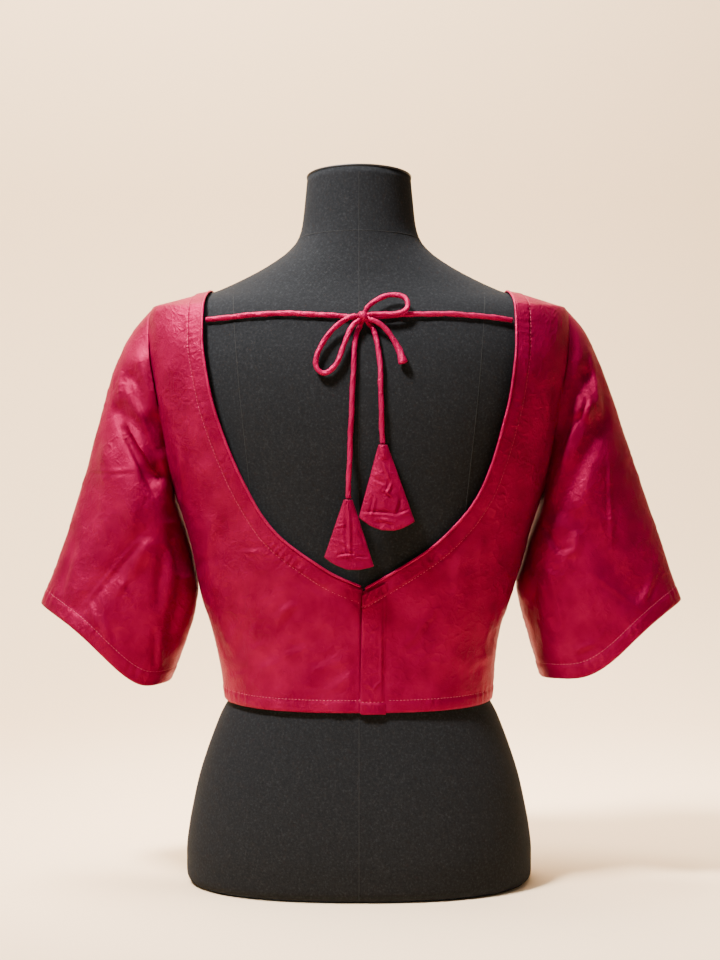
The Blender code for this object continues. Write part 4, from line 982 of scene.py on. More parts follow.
def cloth_relief(grid, seed, calm=1.0):
    """Swells, rumples and crushed arcs all over a piece."""
    swell = SWELL.height * wobble(grid * np.array([1.0, 1.0, 0.75]), SWELL.size, seed)
    rumple = RUMPLE.height * wobble(grid, RUMPLE.size, seed + 3.0)
    arcs = ARCS.height * crushed(grid, ARCS.size, seed + 6.0)
    return calm * (swell + rumple + arcs)


def panel_relief(grid, neck_row, side, front):
    """The whole height that is laid on a panel, and its distances from the neckline and the hem."""
    neck_gap, neck_mark = distance_to(grid, grid[neck_row:, 0])
    arm_gap, _ = distance_to(grid, grid[SEAM_ROWS * FINER[front]:, -1])
    side_gap = row_reach(grid[:, ::-1])[:, ::-1]
    hem_gap, hem_mark = column_reach(grid), row_reach(grid)
    creases = (FRONT_CREASES if front else BACK_CREASES)[side]
    held = 1.0 - 0.65 * step_down(neck_gap, NECK_BAND.depth, 0.004)
    height = cloth_relief(grid, 4.0 + side + 10.0 * front, 0.8 if side > 0 else 1.0) * held
    height += crease_height(creases, np.abs(grid[..., 0]), grid[..., 2]) * held
    height += band_height(NECK_BAND, neck_gap, neck_mark)
    height += band_height(HEM_BAND, hem_gap, hem_mark)
    height = height * (1.0 - 0.9 * np.exp(-(arm_gap / 0.008) ** 2))
    height -= 0.0010 * np.exp(-(arm_gap / 0.0012) ** 2)
    height += 0.0004 * np.exp(-((arm_gap - 0.0045) / 0.0030) ** 2)
    beside = np.exp(-(side_gap / 0.010) ** 2) * np.clip((grid[..., 2] - CALM_FROM) / CALM_OVER, 0.0, 1.0)
    height = height * (1.0 - CALM_SHARE * beside)
    low = np.clip((UNDERARM - grid[..., 2]) / 0.010, 0.0, 1.0)
    height -= 0.0008 * low * np.exp(-(side_gap / 0.0010) ** 2)
    if side > 0 and not front:
        under = step_down(np.abs(grid[..., 0]), UNDER_PLACKET, 0.0025)
        height = height * (1.0 - 0.85 * under)
    if front:
        dart = step_down(grid[..., 2], DART_TOP, 0.012)
        height -= DART_DEPTH * dart * np.exp(-((np.abs(grid[..., 0]) - DART_OUT) / 0.0010) ** 2)
    if side < 0 and not front:
        groove = np.exp(-((grid[..., 0] + GROOVE_X) / GROOVE_WIDTH) ** 2)
        ridge = np.exp(-((grid[..., 0] + GROOVE_X + 0.0032) / 0.0018) ** 2)
        height += (0.0005 * ridge - GROOVE_DEPTH * groove) * (grid[..., 2] < NECKLINE_BACK[-1][0].z + 0.004)
    return np.maximum(height, -MOST_INWARD), neck_gap, hem_gap


def laid(grid, height, closed=False):
    return grid + grid_normals(grid, closed) * height[..., None]


right_neck_edge = back_right[right_neck_row:, 0].copy()
height_left, neck_gap_left, hem_gap_left = panel_relief(back_left, left_neck_row, -1, False)
height_right, neck_gap_right, hem_gap_right = panel_relief(back_right, right_neck_row, 1, False)
back_left, back_right = laid(back_left, height_left), laid(back_right, height_right)
print("relief of the left back in mm:", round(float(height_left.min()) * 1000, 2), "to",
      round(float(height_left.max()) * 1000, 2))

# %% [markdown]
# ## Panels of the blouse
#
# The cloth is about 0.7 mm thick with its lining. Each panel is the outer surface only, and a
# Solidify modifier gives it its inner side and its edges, turned inwards so that the outside
# stays where it was made. Each is declared as a sheet, with its size measured before creases.
#
# The front is cut in one piece, and is made here as two halves. Each half has rumples of its own,
# so most of their middle edges don't meet: a thin line shows down the front that isn't a seam.

# %% Back and front panels
CLOTH_THICKNESS = 0.0007
HALVES_WELD = 0.00006


def add_thickness(piece, thickness=CLOTH_THICKNESS):
    wall = piece.modifiers.new("thickness of the cloth", "SOLIDIFY")
    wall.thickness = thickness
    wall.offset = -1.0
    wall.use_even_offset = False
    return piece


def area_of(grid):
    one, two = grid[1:, 1:] - grid[:-1, :-1], grid[1:, :-1] - grid[:-1, 1:]
    return float(np.linalg.norm(np.cross(one, two), axis=-1).sum() / 2.0)


def joined_meshes(name, meshes, weld=0.0):
    """One mesh from several. Points that are nearer to each other than weld are made one."""
    joined = bmesh.new()
    for mesh in meshes:
        joined.from_mesh(mesh)
    if weld:
        bmesh.ops.remove_doubles(joined, verts=joined.verts, dist=weld)
    result = bpy.data.meshes.new(name)
    joined.to_mesh(result)
    joined.free()
    result.shade_smooth()
    return result


pieces = {}
for name, grid in (("back_panel_left", back_left), ("back_panel_right", back_right)):
    mesh = grid_mesh(name + "_cloth", grid, outward=from_axis)
    pieces[name] = add_thickness(new_object(name + "_cloth", mesh, crimson))
    print(name, "area", round(area_of(grid), 4), "m2, width and length",
          round(float(row_reach(grid)[:, -1].max()), 3), round(float(column_reach(grid)[-1].max()), 3))
front_halves, front_neck_gap, front_hem_gap = {}, {}, {}
for side in (-1, 1):
    grid, front_neck_row = panel_grid(side, True)
    height, front_neck_gap[side], front_hem_gap[side] = panel_relief(grid, front_neck_row, side, True)
    front_halves[side] = laid(grid, height)
half_meshes = [grid_mesh("front_half", front_halves[side], outward=from_axis) for side in (-1, 1)]
front_mesh = joined_meshes("front_panel_cloth", half_meshes, HALVES_WELD)
pieces["front_panel"] = add_thickness(new_object("front_panel_cloth", front_mesh, crimson))
print("front area", round(sum(area_of(g) for g in front_halves.values()), 4), "m2")

# %% [markdown]
# ## Sleeves
#
# A sleeve is a closed tube that starts at the armhole and opens towards the elbow. It hangs
# from the shoulder, so its cloth is pulled into folds that run from the outer arm down towards
# the underarm. The largest ones are in the measured model too. The sleeve is lofted ring by
# ring: the first ring is the armhole itself, and its shape fades out over half of the length.

# %% Rings of the sleeves
Cuff = namedtuple("Cuff", "along outer_x outer_z inner_x inner_z depth tuck")
SLEEVES = {
    "left": [
        Cuff(0.00, 0.2060, 0.5700, 0.1845, 0.3850, 0.0430, 0.000),
        Cuff(0.15, 0.2250, 0.5480, 0.1815, 0.3700, 0.0500, 0.001),
        Cuff(0.30, 0.2425, 0.5140, 0.1757, 0.3530, 0.0540, 0.001),
        Cuff(0.50, 0.2640, 0.4396, 0.1676, 0.3230, 0.0560, 0.001),
        Cuff(0.70, 0.2825, 0.3760, 0.1626, 0.2880, 0.0560, 0.003),
        Cuff(0.85, 0.2990, 0.3270, 0.1727, 0.2480, 0.0550, 0.003),
        Cuff(1.00, 0.3180, 0.2756, 0.1887, 0.2095, 0.0540, 0.000),
    ],
    "right": [
        Cuff(0.00, 0.2060, 0.5700, 0.1845, 0.3850, 0.0430, 0.000),
        Cuff(0.15, 0.2240, 0.5490, 0.1812, 0.3700, 0.0500, 0.001),
        Cuff(0.30, 0.2405, 0.5150, 0.1752, 0.3530, 0.0540, 0.001),
        Cuff(0.50, 0.2670, 0.4396, 0.1660, 0.3230, 0.0560, 0.001),
        Cuff(0.70, 0.2895, 0.3740, 0.1612, 0.2880, 0.0560, 0.003),
        Cuff(0.85, 0.3065, 0.3250, 0.1709, 0.2480, 0.0550, 0.003),
        Cuff(1.00, 0.3220, 0.2796, 0.1820, 0.2095, 0.0540, 0.000),
    ],
}
OUTER_POWER, INNER_POWER = 1.55, 2.7
ARMHOLE_REACH, FOLD_FADE, ARMHOLE_ALLOWANCE = 0.55, 0.030, 1.5
Dip = namedtuple("Dip", "depth middle outward inward")
HEM_DIP = {"left": Dip(0.0235, -0.55, 0.66, 0.50), "right": Dip(0.0225, -0.32, 0.66, 0.60)}
Fold = namedtuple("Fold", "x1 z1 x2 z2 width depth")
SLEEVE_FOLDS = {
    "left": [
        Fold(0.2190, 0.497, 0.1900, 0.432, 0.0095, 0.0075),
        Fold(0.2330, 0.466, 0.1980, 0.404, 0.0100, 0.0085),
        Fold(0.1980, 0.404, 0.1800, 0.368, 0.0100, 0.0070),
        Fold(0.2100, 0.512, 0.2050, 0.468, 0.0110, -0.0045),
        Fold(0.2120, 0.345, 0.2740, 0.272, 0.0100, 0.0035),
        Fold(0.2450, 0.420, 0.2050, 0.330, 0.0140, -0.0040),
    ],
    "right": [
        Fold(0.2200, 0.500, 0.1890, 0.432, 0.0095, 0.0080),
        Fold(0.2130, 0.454, 0.1810, 0.404, 0.0095, 0.0080),
        Fold(0.2350, 0.455, 0.1950, 0.372, 0.0110, 0.0050),
        Fold(0.2250, 0.474, 0.1980, 0.425, 0.0100, -0.0045),
        Fold(0.2150, 0.360, 0.2650, 0.290, 0.0120, 0.0035),
    ],
}
SLEEVE_ROWS, SLEEVE_FINER, RING_FINER = 18, 10, 8


def fold_height(folds, x, z):
    """How far the large folds push the cloth in at places seen from behind."""
    total = np.zeros_like(x)
    for fold in folds:
        along_x, along_z = fold.x2 - fold.x1, fold.z2 - fold.z1
        share = ((x - fold.x1) * along_x + (z - fold.z1) * along_z) / (along_x ** 2 + along_z ** 2)
        share = np.clip(share, 0.0, 1.0)
        distance = np.hypot(x - fold.x1 - along_x * share, z - fold.z1 - along_z * share)
        total += fold.depth * np.exp(-(distance / fold.width) ** 2)
    return total


def even_ring(cuff, dip, face):
    """Half a sleeve's section, from the outer fold round to the fold near the body."""
    share = np.linspace(0.0, 1.0, 361)
    cosine, sine = np.cos(math.pi * share), np.sin(math.pi * share)
    power = np.where(share < 0.5, OUTER_POWER, INNER_POWER)
    run = np.copysign(np.abs(cosine) ** (2.0 / power), cosine)
    deep = np.abs(sine) ** (2.0 / power)
    x = (cuff.outer_x + cuff.inner_x) / 2.0 + (cuff.outer_x - cuff.inner_x) * run / 2.0
    z = (cuff.outer_z + cuff.inner_z) / 2.0 + (cuff.outer_z - cuff.inner_z) * run / 2.0
    x = x - cuff.tuck * deep * np.maximum(0.0, -run)
    reach = np.where(run > dip.middle, dip.outward, dip.inward)
    z = z - dip.depth * cuff.along ** 2 * np.exp(-((run - dip.middle) / reach) ** 2)
    return even(np.stack([x, face * cuff.depth * deep, z], axis=1), ARM_ROWS * RING_FINER + 1)


def armhole_ring(side, front):
    """The sleeve's first ring, from the shoulder to the underarm, clear of the panel's edge."""
    turn, height = armhole(front, ARM_ROWS * RING_FINER + 1)
    turn, height = turn[::-1], height[::-1]
    points = cloth_surface(side, turn, height)
    around = (cloth_surface(side, np.minimum(2.0, turn + 0.01), height)
              - cloth_surface(side, turn - 0.01, height))
    up = cloth_surface(side, turn, height + 0.001) - cloth_surface(side, turn, height - 0.001)
    normal = np.cross(around, up)
    normal /= np.linalg.norm(normal, axis=1, keepdims=True)
    normal *= np.sign((normal[:, :2] * points[:, :2]).sum(axis=1, keepdims=True))
    along = np.gradient(points, axis=0)
    along[0] = along[-1] = (0.0, 1.0 if front else -1.0, 0.0)
    across = np.cross(normal, along)
    across /= np.linalg.norm(across, axis=1, keepdims=True)
    centre = np.array([side * 0.2, 0.0, (points[0, 2] + points[-1, 2]) / 2.0])
    across *= np.sign((across * (centre - points)).sum(axis=1, keepdims=True))
    return points + (across + normal) * SEAM * ARMHOLE_ALLOWANCE


def half_sleeve(side, name, front):
    face = 1.0 if front else -1.0
    table, dip = SLEEVES[name], HEM_DIP[name]
    first, mirror = armhole_ring(side, front), np.array([side, 1.0, 1.0])
    start = even_ring(table[0], dip, face) * mirror
    rows = [first]
    for along in np.linspace(0.0, 1.0, SLEEVE_ROWS * SLEEVE_FINER + 1)[1:]:
        cuff = Cuff(along, *[float(smooth_column(table, field, along)) for field in Cuff._fields[1:]])
        ring = even_ring(cuff, dip, face)
        push = fold_height(SLEEVE_FOLDS[name], ring[:, 0], ring[:, 2])
        ring[:, 1] -= face * push * np.minimum(1.0, np.abs(ring[:, 1]) / FOLD_FADE)
        keep = max(0.0, 1.0 - along / ARMHOLE_REACH) ** 2
        rows.append(ring * mirror + (first - start) * keep)
    return np.array(rows)


def sleeve_grid(side, name):
    behind, before = half_sleeve(side, name, False), half_sleeve(side, name, True)
    top, low = (behind[:, :1] + before[:, :1]) / 2.0, (behind[:, -1:] + before[:, -1:]) / 2.0
    return np.concatenate([top, behind[:, 1:-1], low, before[:, -2:0:-1]], axis=1)


sleeve_grids = {name: sleeve_grid(side, name) for side, name in ((-1, "left"), (1, "right"))}
print("sleeve grids:", {name: grid.shape for name, grid in sleeve_grids.items()})

# %% Creases of the sleeves
# The last two rows of each side are broad troughs that darken the side near the body.
SLEEVE_CREASES = {
    "left": [
        Crease(0.2210, 0.4962, 0.1921, 0.4255, 0.0025, 0.0036, 0.0038),
        Crease(0.2175, 0.4866, 0.1967, 0.4400, 0.0020, 0.0030, -0.0043),
        Crease(0.2296, 0.4607, 0.1869, 0.3817, -0.0030, 0.0042, 0.0040),
        Crease(0.2331, 0.4529, 0.1979, 0.3837, -0.0025, 0.0042, -0.0051),
        Crease(0.2065, 0.4111, 0.1979, 0.3895, 0.0004, 0.0029, 0.0015),
        Crease(0.1846, 0.3780, 0.1725, 0.3448, 0.0010, 0.0062, -0.0057),
        Crease(0.2677, 0.4054, 0.2158, 0.4068, 0.0006, 0.0018, -0.0008),
        Crease(0.2071, 0.3492, 0.2711, 0.2742, 0.0012, 0.0023, 0.0014),
        Crease(0.2042, 0.3434, 0.2230, 0.3045, 0.0010, 0.0060, 0.0022),
        Crease(0.2489, 0.4457, 0.2469, 0.3362, 0.0010, 0.0095, 0.0018),
        Crease(0.2351, 0.5120, 0.2359, 0.4688, 0.0000, 0.0020, 0.0007),
        Crease(0.2230, 0.3059, 0.2359, 0.2872, 0.0010, 0.0023, 0.0010),
        Crease(0.2308, 0.3016, 0.2230, 0.2829, 0.0006, 0.0023, 0.0010),
        Crease(0.1985, 0.2555, 0.1999, 0.2122, 0.0004, 0.0032, -0.0018),
        Crease(0.1898, 0.3362, 0.1956, 0.2699, 0.0010, 0.0056, -0.0030),
        Crease(0.2806, 0.3420, 0.2950, 0.2843, 0.0006, 0.0042, -0.0013),
        Crease(0.2518, 0.2699, 0.2403, 0.2324, 0.0008, 0.0042, 0.0015),
        Crease(0.2648, 0.2843, 0.2547, 0.2555, 0.0004, 0.0030, 0.0011),
        Crease(0.2063, 0.5120, 0.2172, 0.4962, 0.0004, 0.0026, 0.0014),
        Crease(0.1769, 0.3592, 0.1653, 0.3045, 0.0010, 0.0110, -0.0081),
        Crease(0.1697, 0.3045, 0.1869, 0.2122, 0.0020, 0.0100, -0.0054),
    ],
    "right": [
        Crease(0.2183, 0.4990, 0.1901, 0.4327, -0.0030, 0.0046, 0.0042),
        Crease(0.2235, 0.4817, 0.2140, 0.4558, 0.0006, 0.0034, -0.0032),
        Crease(0.2131, 0.4549, 0.1938, 0.4025, -0.0020, 0.0036, 0.0038),
        Crease(0.2016, 0.4457, 0.1814, 0.4054, -0.0010, 0.0040, -0.0051),
        Crease(0.2120, 0.3506, 0.2068, 0.3247, 0.0010, 0.0062, 0.0024),
        Crease(0.1780, 0.3564, 0.1953, 0.3290, 0.0008, 0.0032, -0.0032),
        Crease(0.1953, 0.3290, 0.2091, 0.3362, 0.0004, 0.0031, -0.0010),
        Crease(0.2443, 0.4313, 0.2466, 0.3275, 0.0004, 0.0020, 0.0008),
        Crease(0.2226, 0.3117, 0.2817, 0.2670, 0.0006, 0.0022, 0.0010),
        Crease(0.1808, 0.3189, 0.1929, 0.2814, 0.0012, 0.0031, 0.0014),
        Crease(0.1693, 0.3074, 0.1814, 0.2901, 0.0006, 0.0029, 0.0011),
        Crease(0.1924, 0.2843, 0.1987, 0.2555, 0.0006, 0.0030, 0.0013),
        Crease(0.1751, 0.2641, 0.1895, 0.2382, 0.0008, 0.0032, -0.0011),
        Crease(0.1837, 0.3160, 0.1981, 0.3074, 0.0004, 0.0025, -0.0010),
        Crease(0.2846, 0.2958, 0.2774, 0.2785, 0.0004, 0.0032, 0.0011),
        Crease(0.2961, 0.3045, 0.2846, 0.2814, 0.0004, 0.0032, -0.0010),
        Crease(0.2154, 0.5466, 0.2111, 0.5005, 0.0006, 0.0042, 0.0014),
        Crease(0.2298, 0.5293, 0.2342, 0.4745, 0.0004, 0.0032, 0.0011),
        Crease(0.2414, 0.5005, 0.2443, 0.4457, 0.0004, 0.0042, -0.0011),
        Crease(0.2270, 0.4227, 0.2198, 0.3823, 0.0006, 0.0080, 0.0016),
        Crease(0.2097, 0.2324, 0.2327, 0.2411, 0.0006, 0.0032, 0.0012),
        Crease(0.1803, 0.3996, 0.1664, 0.3362, 0.0010, 0.0110, -0.0081),
        Crease(0.1607, 0.3045, 0.1722, 0.2238, 0.0010, 0.0080, -0.0041),
    ],
}
CROSSES = {"left": "right", "right": "left"}
LEAN_AT = (0.262, 0.280, 0.290, 0.299, 0.309, 0.320, 0.360, 0.368, 0.376)
LEAN = {                            # how far each sleeve leans on the body, at those heights
    "left": (0.0, 0.0008, 0.0016, 0.0013, 0.0011, 0.0012, 0.0012, 0.0010, 0.0),
    "right": (0.0, 0.0012, 0.0030, 0.0034, 0.0018, 0.0008, 0.0005, 0.0004, 0.0),
}


def sleeve_relief(name, grid, seed):
    """Creases, relief and the cuff's band; each face has the other sleeve's creases in front."""
    up = column_reach(grid[::-1])[::-1]
    around = row_reach(grid)
    out, z, deep = np.abs(grid[..., 0]), grid[..., 2], np.minimum(1.0, np.abs(grid[..., 1]) / 0.024)
    behind = crease_height(SLEEVE_CREASES[name], out, z)
    before = crease_height(SLEEVE_CREASES[CROSSES[name]], out, z + 0.008)
    height = np.where(grid[..., 1] < 0.0, behind, before) * deep
    calm = np.clip(column_reach(grid) / 0.030, 0.25, 1.0)
    height += cloth_relief(grid, seed, 1.0) * calm
    beside = np.clip(1.0 - (out - smooth_column(CLOTH, "half_width", z) - 0.001) / 0.012, 0.0, 1.0)
    beside = beside * np.clip((z - CALM_FROM) / CALM_OVER, 0.0, 1.0)
    down = column_reach(grid)
    height += 0.0009 * np.exp(-((down - 0.0045) / 0.0035) ** 2)
    height = height * (1.0 - CALM_SHARE * beside) + np.interp(z, LEAN_AT, LEAN[name]) * beside
    height -= 0.0007 * np.exp(-(down / 0.0012) ** 2)
    height += band_height(CUFF_BAND, up, around)
    return height, up


cuff_gaps = {}
for seed, (name, grid) in enumerate(sleeve_grids.items()):
    height, cuff_gaps[name] = sleeve_relief(name, grid, 31.0 + 7.0 * seed)
    sleeve_grids[name] = laid(grid, height, closed=True)
    middle = np.repeat(sleeve_grids[name][:-1].mean(axis=1), grid.shape[1], axis=0)
    mesh = grid_mesh("sleeve_" + name + "_cloth", sleeve_grids[name], closed=True,
                     outward=lambda a, middle=middle: a - middle)
    piece = add_thickness(new_object("sleeve_" + name + "_cloth", mesh, crimson))
    pieces["sleeve_" + name] = piece
    print(piece.name, "area", round(area_of(sleeve_grids[name]), 4), "m2, round",
          round(float(row_reach(sleeve_grids[name])[-1, -1]), 3))

# %% [markdown]
# ## Placket
#
# The opening closes with hooks that don't show, under a folded strip: the placket. It lies on
# the right panel and laps a little over the left one, and its fold edge, pressed and a bit
# slanted, is the one bright line down the middle of the back. On its other side it is sewn flat.

# %% Placket at the opening
WALL = 0.0016
PLACKET_WIDTH, PLACKET_SLOPE = 0.025, 0.53
FOLD_LOW, FOLD_HIGH = 0.0006, 0.0030       # the fold edge's x at the hem and at the neckline
PLACKET_TOP, PLACKET_BELOW = 0.2915, 0.0015
CORNER_ROUND = 0.0035                      # of its lower corner
PLACKET_STEPS = (150, 54)
PLACKET_CREASES = [
    Crease(0.0235, 0.2960, 0.0232, 0.1900, 0.0000, 0.0012, -0.0005),
    Crease(0.0205, 0.2700, 0.0212, 0.2050, 0.0004, 0.0016, 0.0004),
    Crease(0.0110, 0.2560, 0.0180, 0.2640, 0.0004, 0.0010, 0.0004),
    Crease(0.0040, 0.2080, 0.0160, 0.1990, 0.0010, 0.0022, 0.0006),
    Crease(0.0140, 0.2010, 0.0200, 0.2080, 0.0004, 0.0012, 0.0005),
    Crease(0.0090, 0.2930, 0.0072, 0.2860, 0.0002, 0.0009, 0.0007),
    Crease(0.0160, 0.2960, 0.0150, 0.2880, 0.0002, 0.0009, -0.0006),
    Crease(0.0205, 0.2985, 0.0200, 0.2880, 0.0002, 0.0010, 0.0006),
]


def cloth_directions(side, turn, height):
    """The outward directions of the cloth's surface."""
    around = (cloth_surface(side, np.minimum(2.0, turn + 0.01), height)
              - cloth_surface(side, np.maximum(0.0, turn - 0.01), height))
    up = cloth_surface(side, turn, height + 0.001) - cloth_surface(side, turn, height - 0.001)
    normal = np.cross(around, up)
    normal /= np.linalg.norm(normal, axis=-1, keepdims=True)
    inward = (normal[..., :2] * cloth_surface(side, turn, height)[..., :2]).sum(axis=-1) < 0.0
    return np.where(inward[..., None], -normal, normal)


up, across = [np.linspace(0.0, 1.0, steps + 1) for steps in PLACKET_STEPS]
fold_x = FOLD_LOW + (FOLD_HIGH - FOLD_LOW) * up[:, None]
placket_x = fold_x + PLACKET_WIDTH * across[None, :]
from_fold = np.clip(1.0 - PLACKET_WIDTH * across / CORNER_ROUND, 0.0, 1.0)
lift_corner = CORNER_ROUND * 0.6 * (1.0 - np.sqrt(1.0 - from_fold ** 2))
placket_low = HEM - PLACKET_BELOW + lift_corner
placket_high = PLACKET_TOP + PLACKET_SLOPE * (placket_x - FOLD_HIGH)
placket_z = placket_low[None, :] + (placket_high - placket_low[None, :]) * up[:, None]
placket_turn = turn_of(CLOTH, placket_x, placket_z)
placket_base = cloth_surface(1, placket_turn, placket_z)
neck_gap, neck_mark = distance_to(placket_base, right_neck_edge)
raised = WALL + SEAM + crease_height(PLACKET_CREASES, placket_x, placket_z)
raised += band_height(NECK_BAND, neck_gap, neck_mark) * 0.8
raised += band_height(HEM_BAND, placket_z - placket_low[None, :], placket_x)
raised += 0.35 * cloth_relief(placket_base, 51.0)
raised -= 0.0010 * np.exp(-((placket_x - fold_x) / 0.0011) ** 2)
raised -= 0.0021 * np.clip(1.0 - (1.0 - across) * PLACKET_WIDTH / 0.0100, 0.0, 1.0)[None, :] ** 2
placket_grid = placket_base + cloth_directions(1, placket_turn, placket_z) * raised[..., None]
pieces["placket_right"] = add_thickness(new_object(
    "placket_right_cloth", grid_mesh("placket_right_cloth", placket_grid, outward=from_axis), crimson))
print("placket:", len(pieces["placket_right"].data.polygons), "faces")

# %% [markdown]
# ## Piped neckline
#
# Along the neckline the facing is rolled over a thin string, which makes a narrow round edge
# that catches the light. It follows the panel's own edge, so its line is read from the panel's
# grid: each point is half a cord's width off the edge, at right angles to it.

# %% Piping of the neckline
PIPING, PIPING_START = 0.0026, 0.7


def edge_line(grid, neck_row, gap):
    """A line beside the neckline's edge, off the panel."""
    edge = grid[neck_row:, 0]
    along = np.gradient(edge, axis=0)
    along /= np.linalg.norm(along, axis=1, keepdims=True)
    inward = grid[neck_row:, 4] - edge
    inward -= along * (inward * along).sum(axis=1, keepdims=True)
    inward /= np.linalg.norm(inward, axis=1, keepdims=True)
    return edge - inward * gap


def add_piping(name, line):
    fine = even(line, int(length_of(line) / 0.0011))
    mesh = sewn_tube(name + "_cloth", fine, PIPING, closed_ends=True, twist=9.0, ridge=0.05)
    return new_object(name + "_cloth", mesh, trim)


pipings = {}
for node, grid, neck_row, side in (("neck_piping_left", back_left, left_neck_row, -1),
                                   ("neck_piping_right", back_right, right_neck_row, 1)):
    line = edge_line(grid, neck_row, PIPING * 0.42)
    start = PARTING + side * PIPING * PIPING_START
    past = int(np.argmax(side * (line[:, 0] - start) > 0.0))
    pipings[node] = add_piping(node, line[past:])
left_line, right_line = [edge_line(front_halves[s], front_neck_row, PIPING * 0.42) for s in (-1, 1)]
left_line[0, 0] = right_line[0, 0] = 0.0
pipings["neck_piping_front"] = add_piping("neck_piping_front", np.vstack([left_line[:0:-1], right_line]))
print("pipings:", {name: len(piece.data.polygons) for name, piece in pipings.items()})

# %% [markdown]
# ## Knot and tassels
#
# The knot is the cord passed once round everything else, so it is a core with one short turn of
# the same tube laid slantwise over it. Each tassel is a cone folded from a piece of the blouse
# cloth: pleated where the cord goes in, pressed flat along its sides, open at the bottom, and
# rumpled. A cone with a plain arc at its foot would look like a paper cup.

# %% Knot of the bow
Turn = namedtuple("Turn", "radius_across radius_deep lean start end")
KNOT = Stop(0.0040, 0.5562, 0.0068)
KNOT_CORE = (0.0052, 0.0052, 0.0054)
LEG = 0.0046
KNOT_TURNS = [Turn(0.0042, 0.0056, -42.0, -20.0, 200.0), Turn(0.0030, 0.0048, 50.0, 0.0, 180.0)]
KNOT_WRAP = 0.0054


def ellipsoid_grid(centre, radii, rows, sides):
    polar = np.linspace(0.04, math.pi - 0.04, rows)[:, None]
    round_it = np.arange(sides) * 2.0 * math.pi / sides
    unit = np.stack([np.sin(polar) * np.cos(round_it), np.sin(polar) * np.sin(round_it),
                     np.cos(polar) + 0.0 * round_it], axis=-1)
    return np.array(centre) + unit * np.array(radii)


knot_centre = np.array(form_back(*KNOT))
core = ellipsoid_grid(knot_centre, KNOT_CORE, 20, 32)
core += (core - knot_centre) * 0.10 * wobble(core, 0.0032, 8.0)[..., None]
knot_parts = [grid_mesh("knot_core", core, closed=True, caps=True, outward=lambda a: a - knot_centre)]
for number, turn in enumerate(KNOT_TURNS):
    angles = np.radians(np.linspace(turn.start, turn.end, 34))
    lean = math.radians(turn.lean)
    across_it = np.array([math.cos(lean), 0.0, math.sin(lean)])
    path = (knot_centre + np.cos(angles)[:, None] * across_it * turn.radius_across
            - np.sin(angles)[:, None] * np.array([0.0, turn.radius_deep - 0.0016 * number, 0.0]))
    knot_parts.append(sewn_tube("knot_turn", path, KNOT_WRAP, ridge=0.12))
for name, line in route_of.items():
    for end, inner in ((line[0], line[2]), (line[-1], line[-3])):
        if np.linalg.norm(end - knot_centre) < 0.012:
            start = knot_centre + (end - knot_centre) * 0.25
            leg = np.linspace(start, inner, 9)
            knot_parts.append(sewn_tube("knot_leg", leg, LEG, ridge=0.10))
tie_pieces["bow_knot"] = new_object("bow_knot_cloth", joined_meshes("bow_knot_cloth", knot_parts), trim)
print("knot:", [round(v * 1000, 1) for v in tie_pieces["bow_knot"].dimensions], "mm")

# %% Tassels folded from cloth
Tassel = namedtuple("Tassel", "x z left_x left_z right_x right_z sag y thickness")
TASSELS = {
    "tassel_left": Tassel(-0.0102, 0.3828, -0.0328, 0.3285, 0.0140, 0.3205, 0.0075, -0.1135, 0.0090),
    "tassel_right": Tassel(0.0226, 0.4347, -0.0002, 0.3660, 0.0527, 0.3626, 0.0105, -0.1130, 0.0090),
}
TASSEL_NECK, TASSEL_TOP, TASSEL_EDGE = 0.0042, 0.0024, 1.3
TASSEL_ROWS, TASSEL_SIDES = 72, 120
TASSEL_CREASES = {
    "tassel_left": [
        Crease(-0.0100, 0.3790, -0.0088, 0.3305, 0.0004, 0.0016, 0.0017),
        Crease(-0.0113, 0.3826, -0.0116, 0.3770, 0.0000, 0.0006, -0.0010),
        Crease(-0.0092, 0.3806, -0.0090, 0.3730, 0.0000, 0.0006, -0.0010),
        Crease(-0.0165, 0.3440, -0.0088, 0.3340, 0.0006, 0.0012, 0.0010),
        Crease(-0.0212, 0.3302, -0.0036, 0.3318, 0.0012, 0.0012, -0.0011),
        Crease(-0.0150, 0.3380, -0.0110, 0.3250, 0.0006, 0.0010, 0.0009),
        Crease(-0.0040, 0.3300, 0.0090, 0.3290, -0.0006, 0.0010, -0.0008),
        Crease(-0.0235, 0.3560, -0.0130, 0.3590, 0.0004, 0.0010, 0.0006),
        Crease(-0.0010, 0.3560, 0.0060, 0.3380, 0.0008, 0.0014, -0.0009),
    ],
    "tassel_right": [
        Crease(0.0205, 0.4342, 0.0238, 0.4205, 0.0000, 0.0034, 0.0016),
        Crease(0.0182, 0.4260, 0.0194, 0.4215, 0.0000, 0.0008, -0.0015),
        Crease(0.0215, 0.4180, 0.0285, 0.4020, 0.0008, 0.0012, 0.0012),
        Crease(0.0309, 0.3995, 0.0250, 0.3870, 0.0006, 0.0012, 0.0011),
        Crease(0.0226, 0.3922, 0.0321, 0.3848, 0.0004, 0.0011, 0.0011),
        Crease(0.0156, 0.3870, 0.0114, 0.3675, 0.0003, 0.0011, 0.0012),
        Crease(0.0014, 0.3712, 0.0370, 0.3692, 0.0012, 0.0012, -0.0012),
        Crease(0.0360, 0.3694, 0.0490, 0.3740, 0.0004, 0.0012, -0.0011),
        Crease(0.0150, 0.3640, 0.0330, 0.3600, 0.0020, 0.0016, 0.0010),
        Crease(0.0400, 0.3850, 0.0360, 0.3700, 0.0006, 0.0018, -0.0011),
        Crease(0.0120, 0.4050, 0.0250, 0.3980, -0.0006, 0.0014, -0.0009),
    ],
}


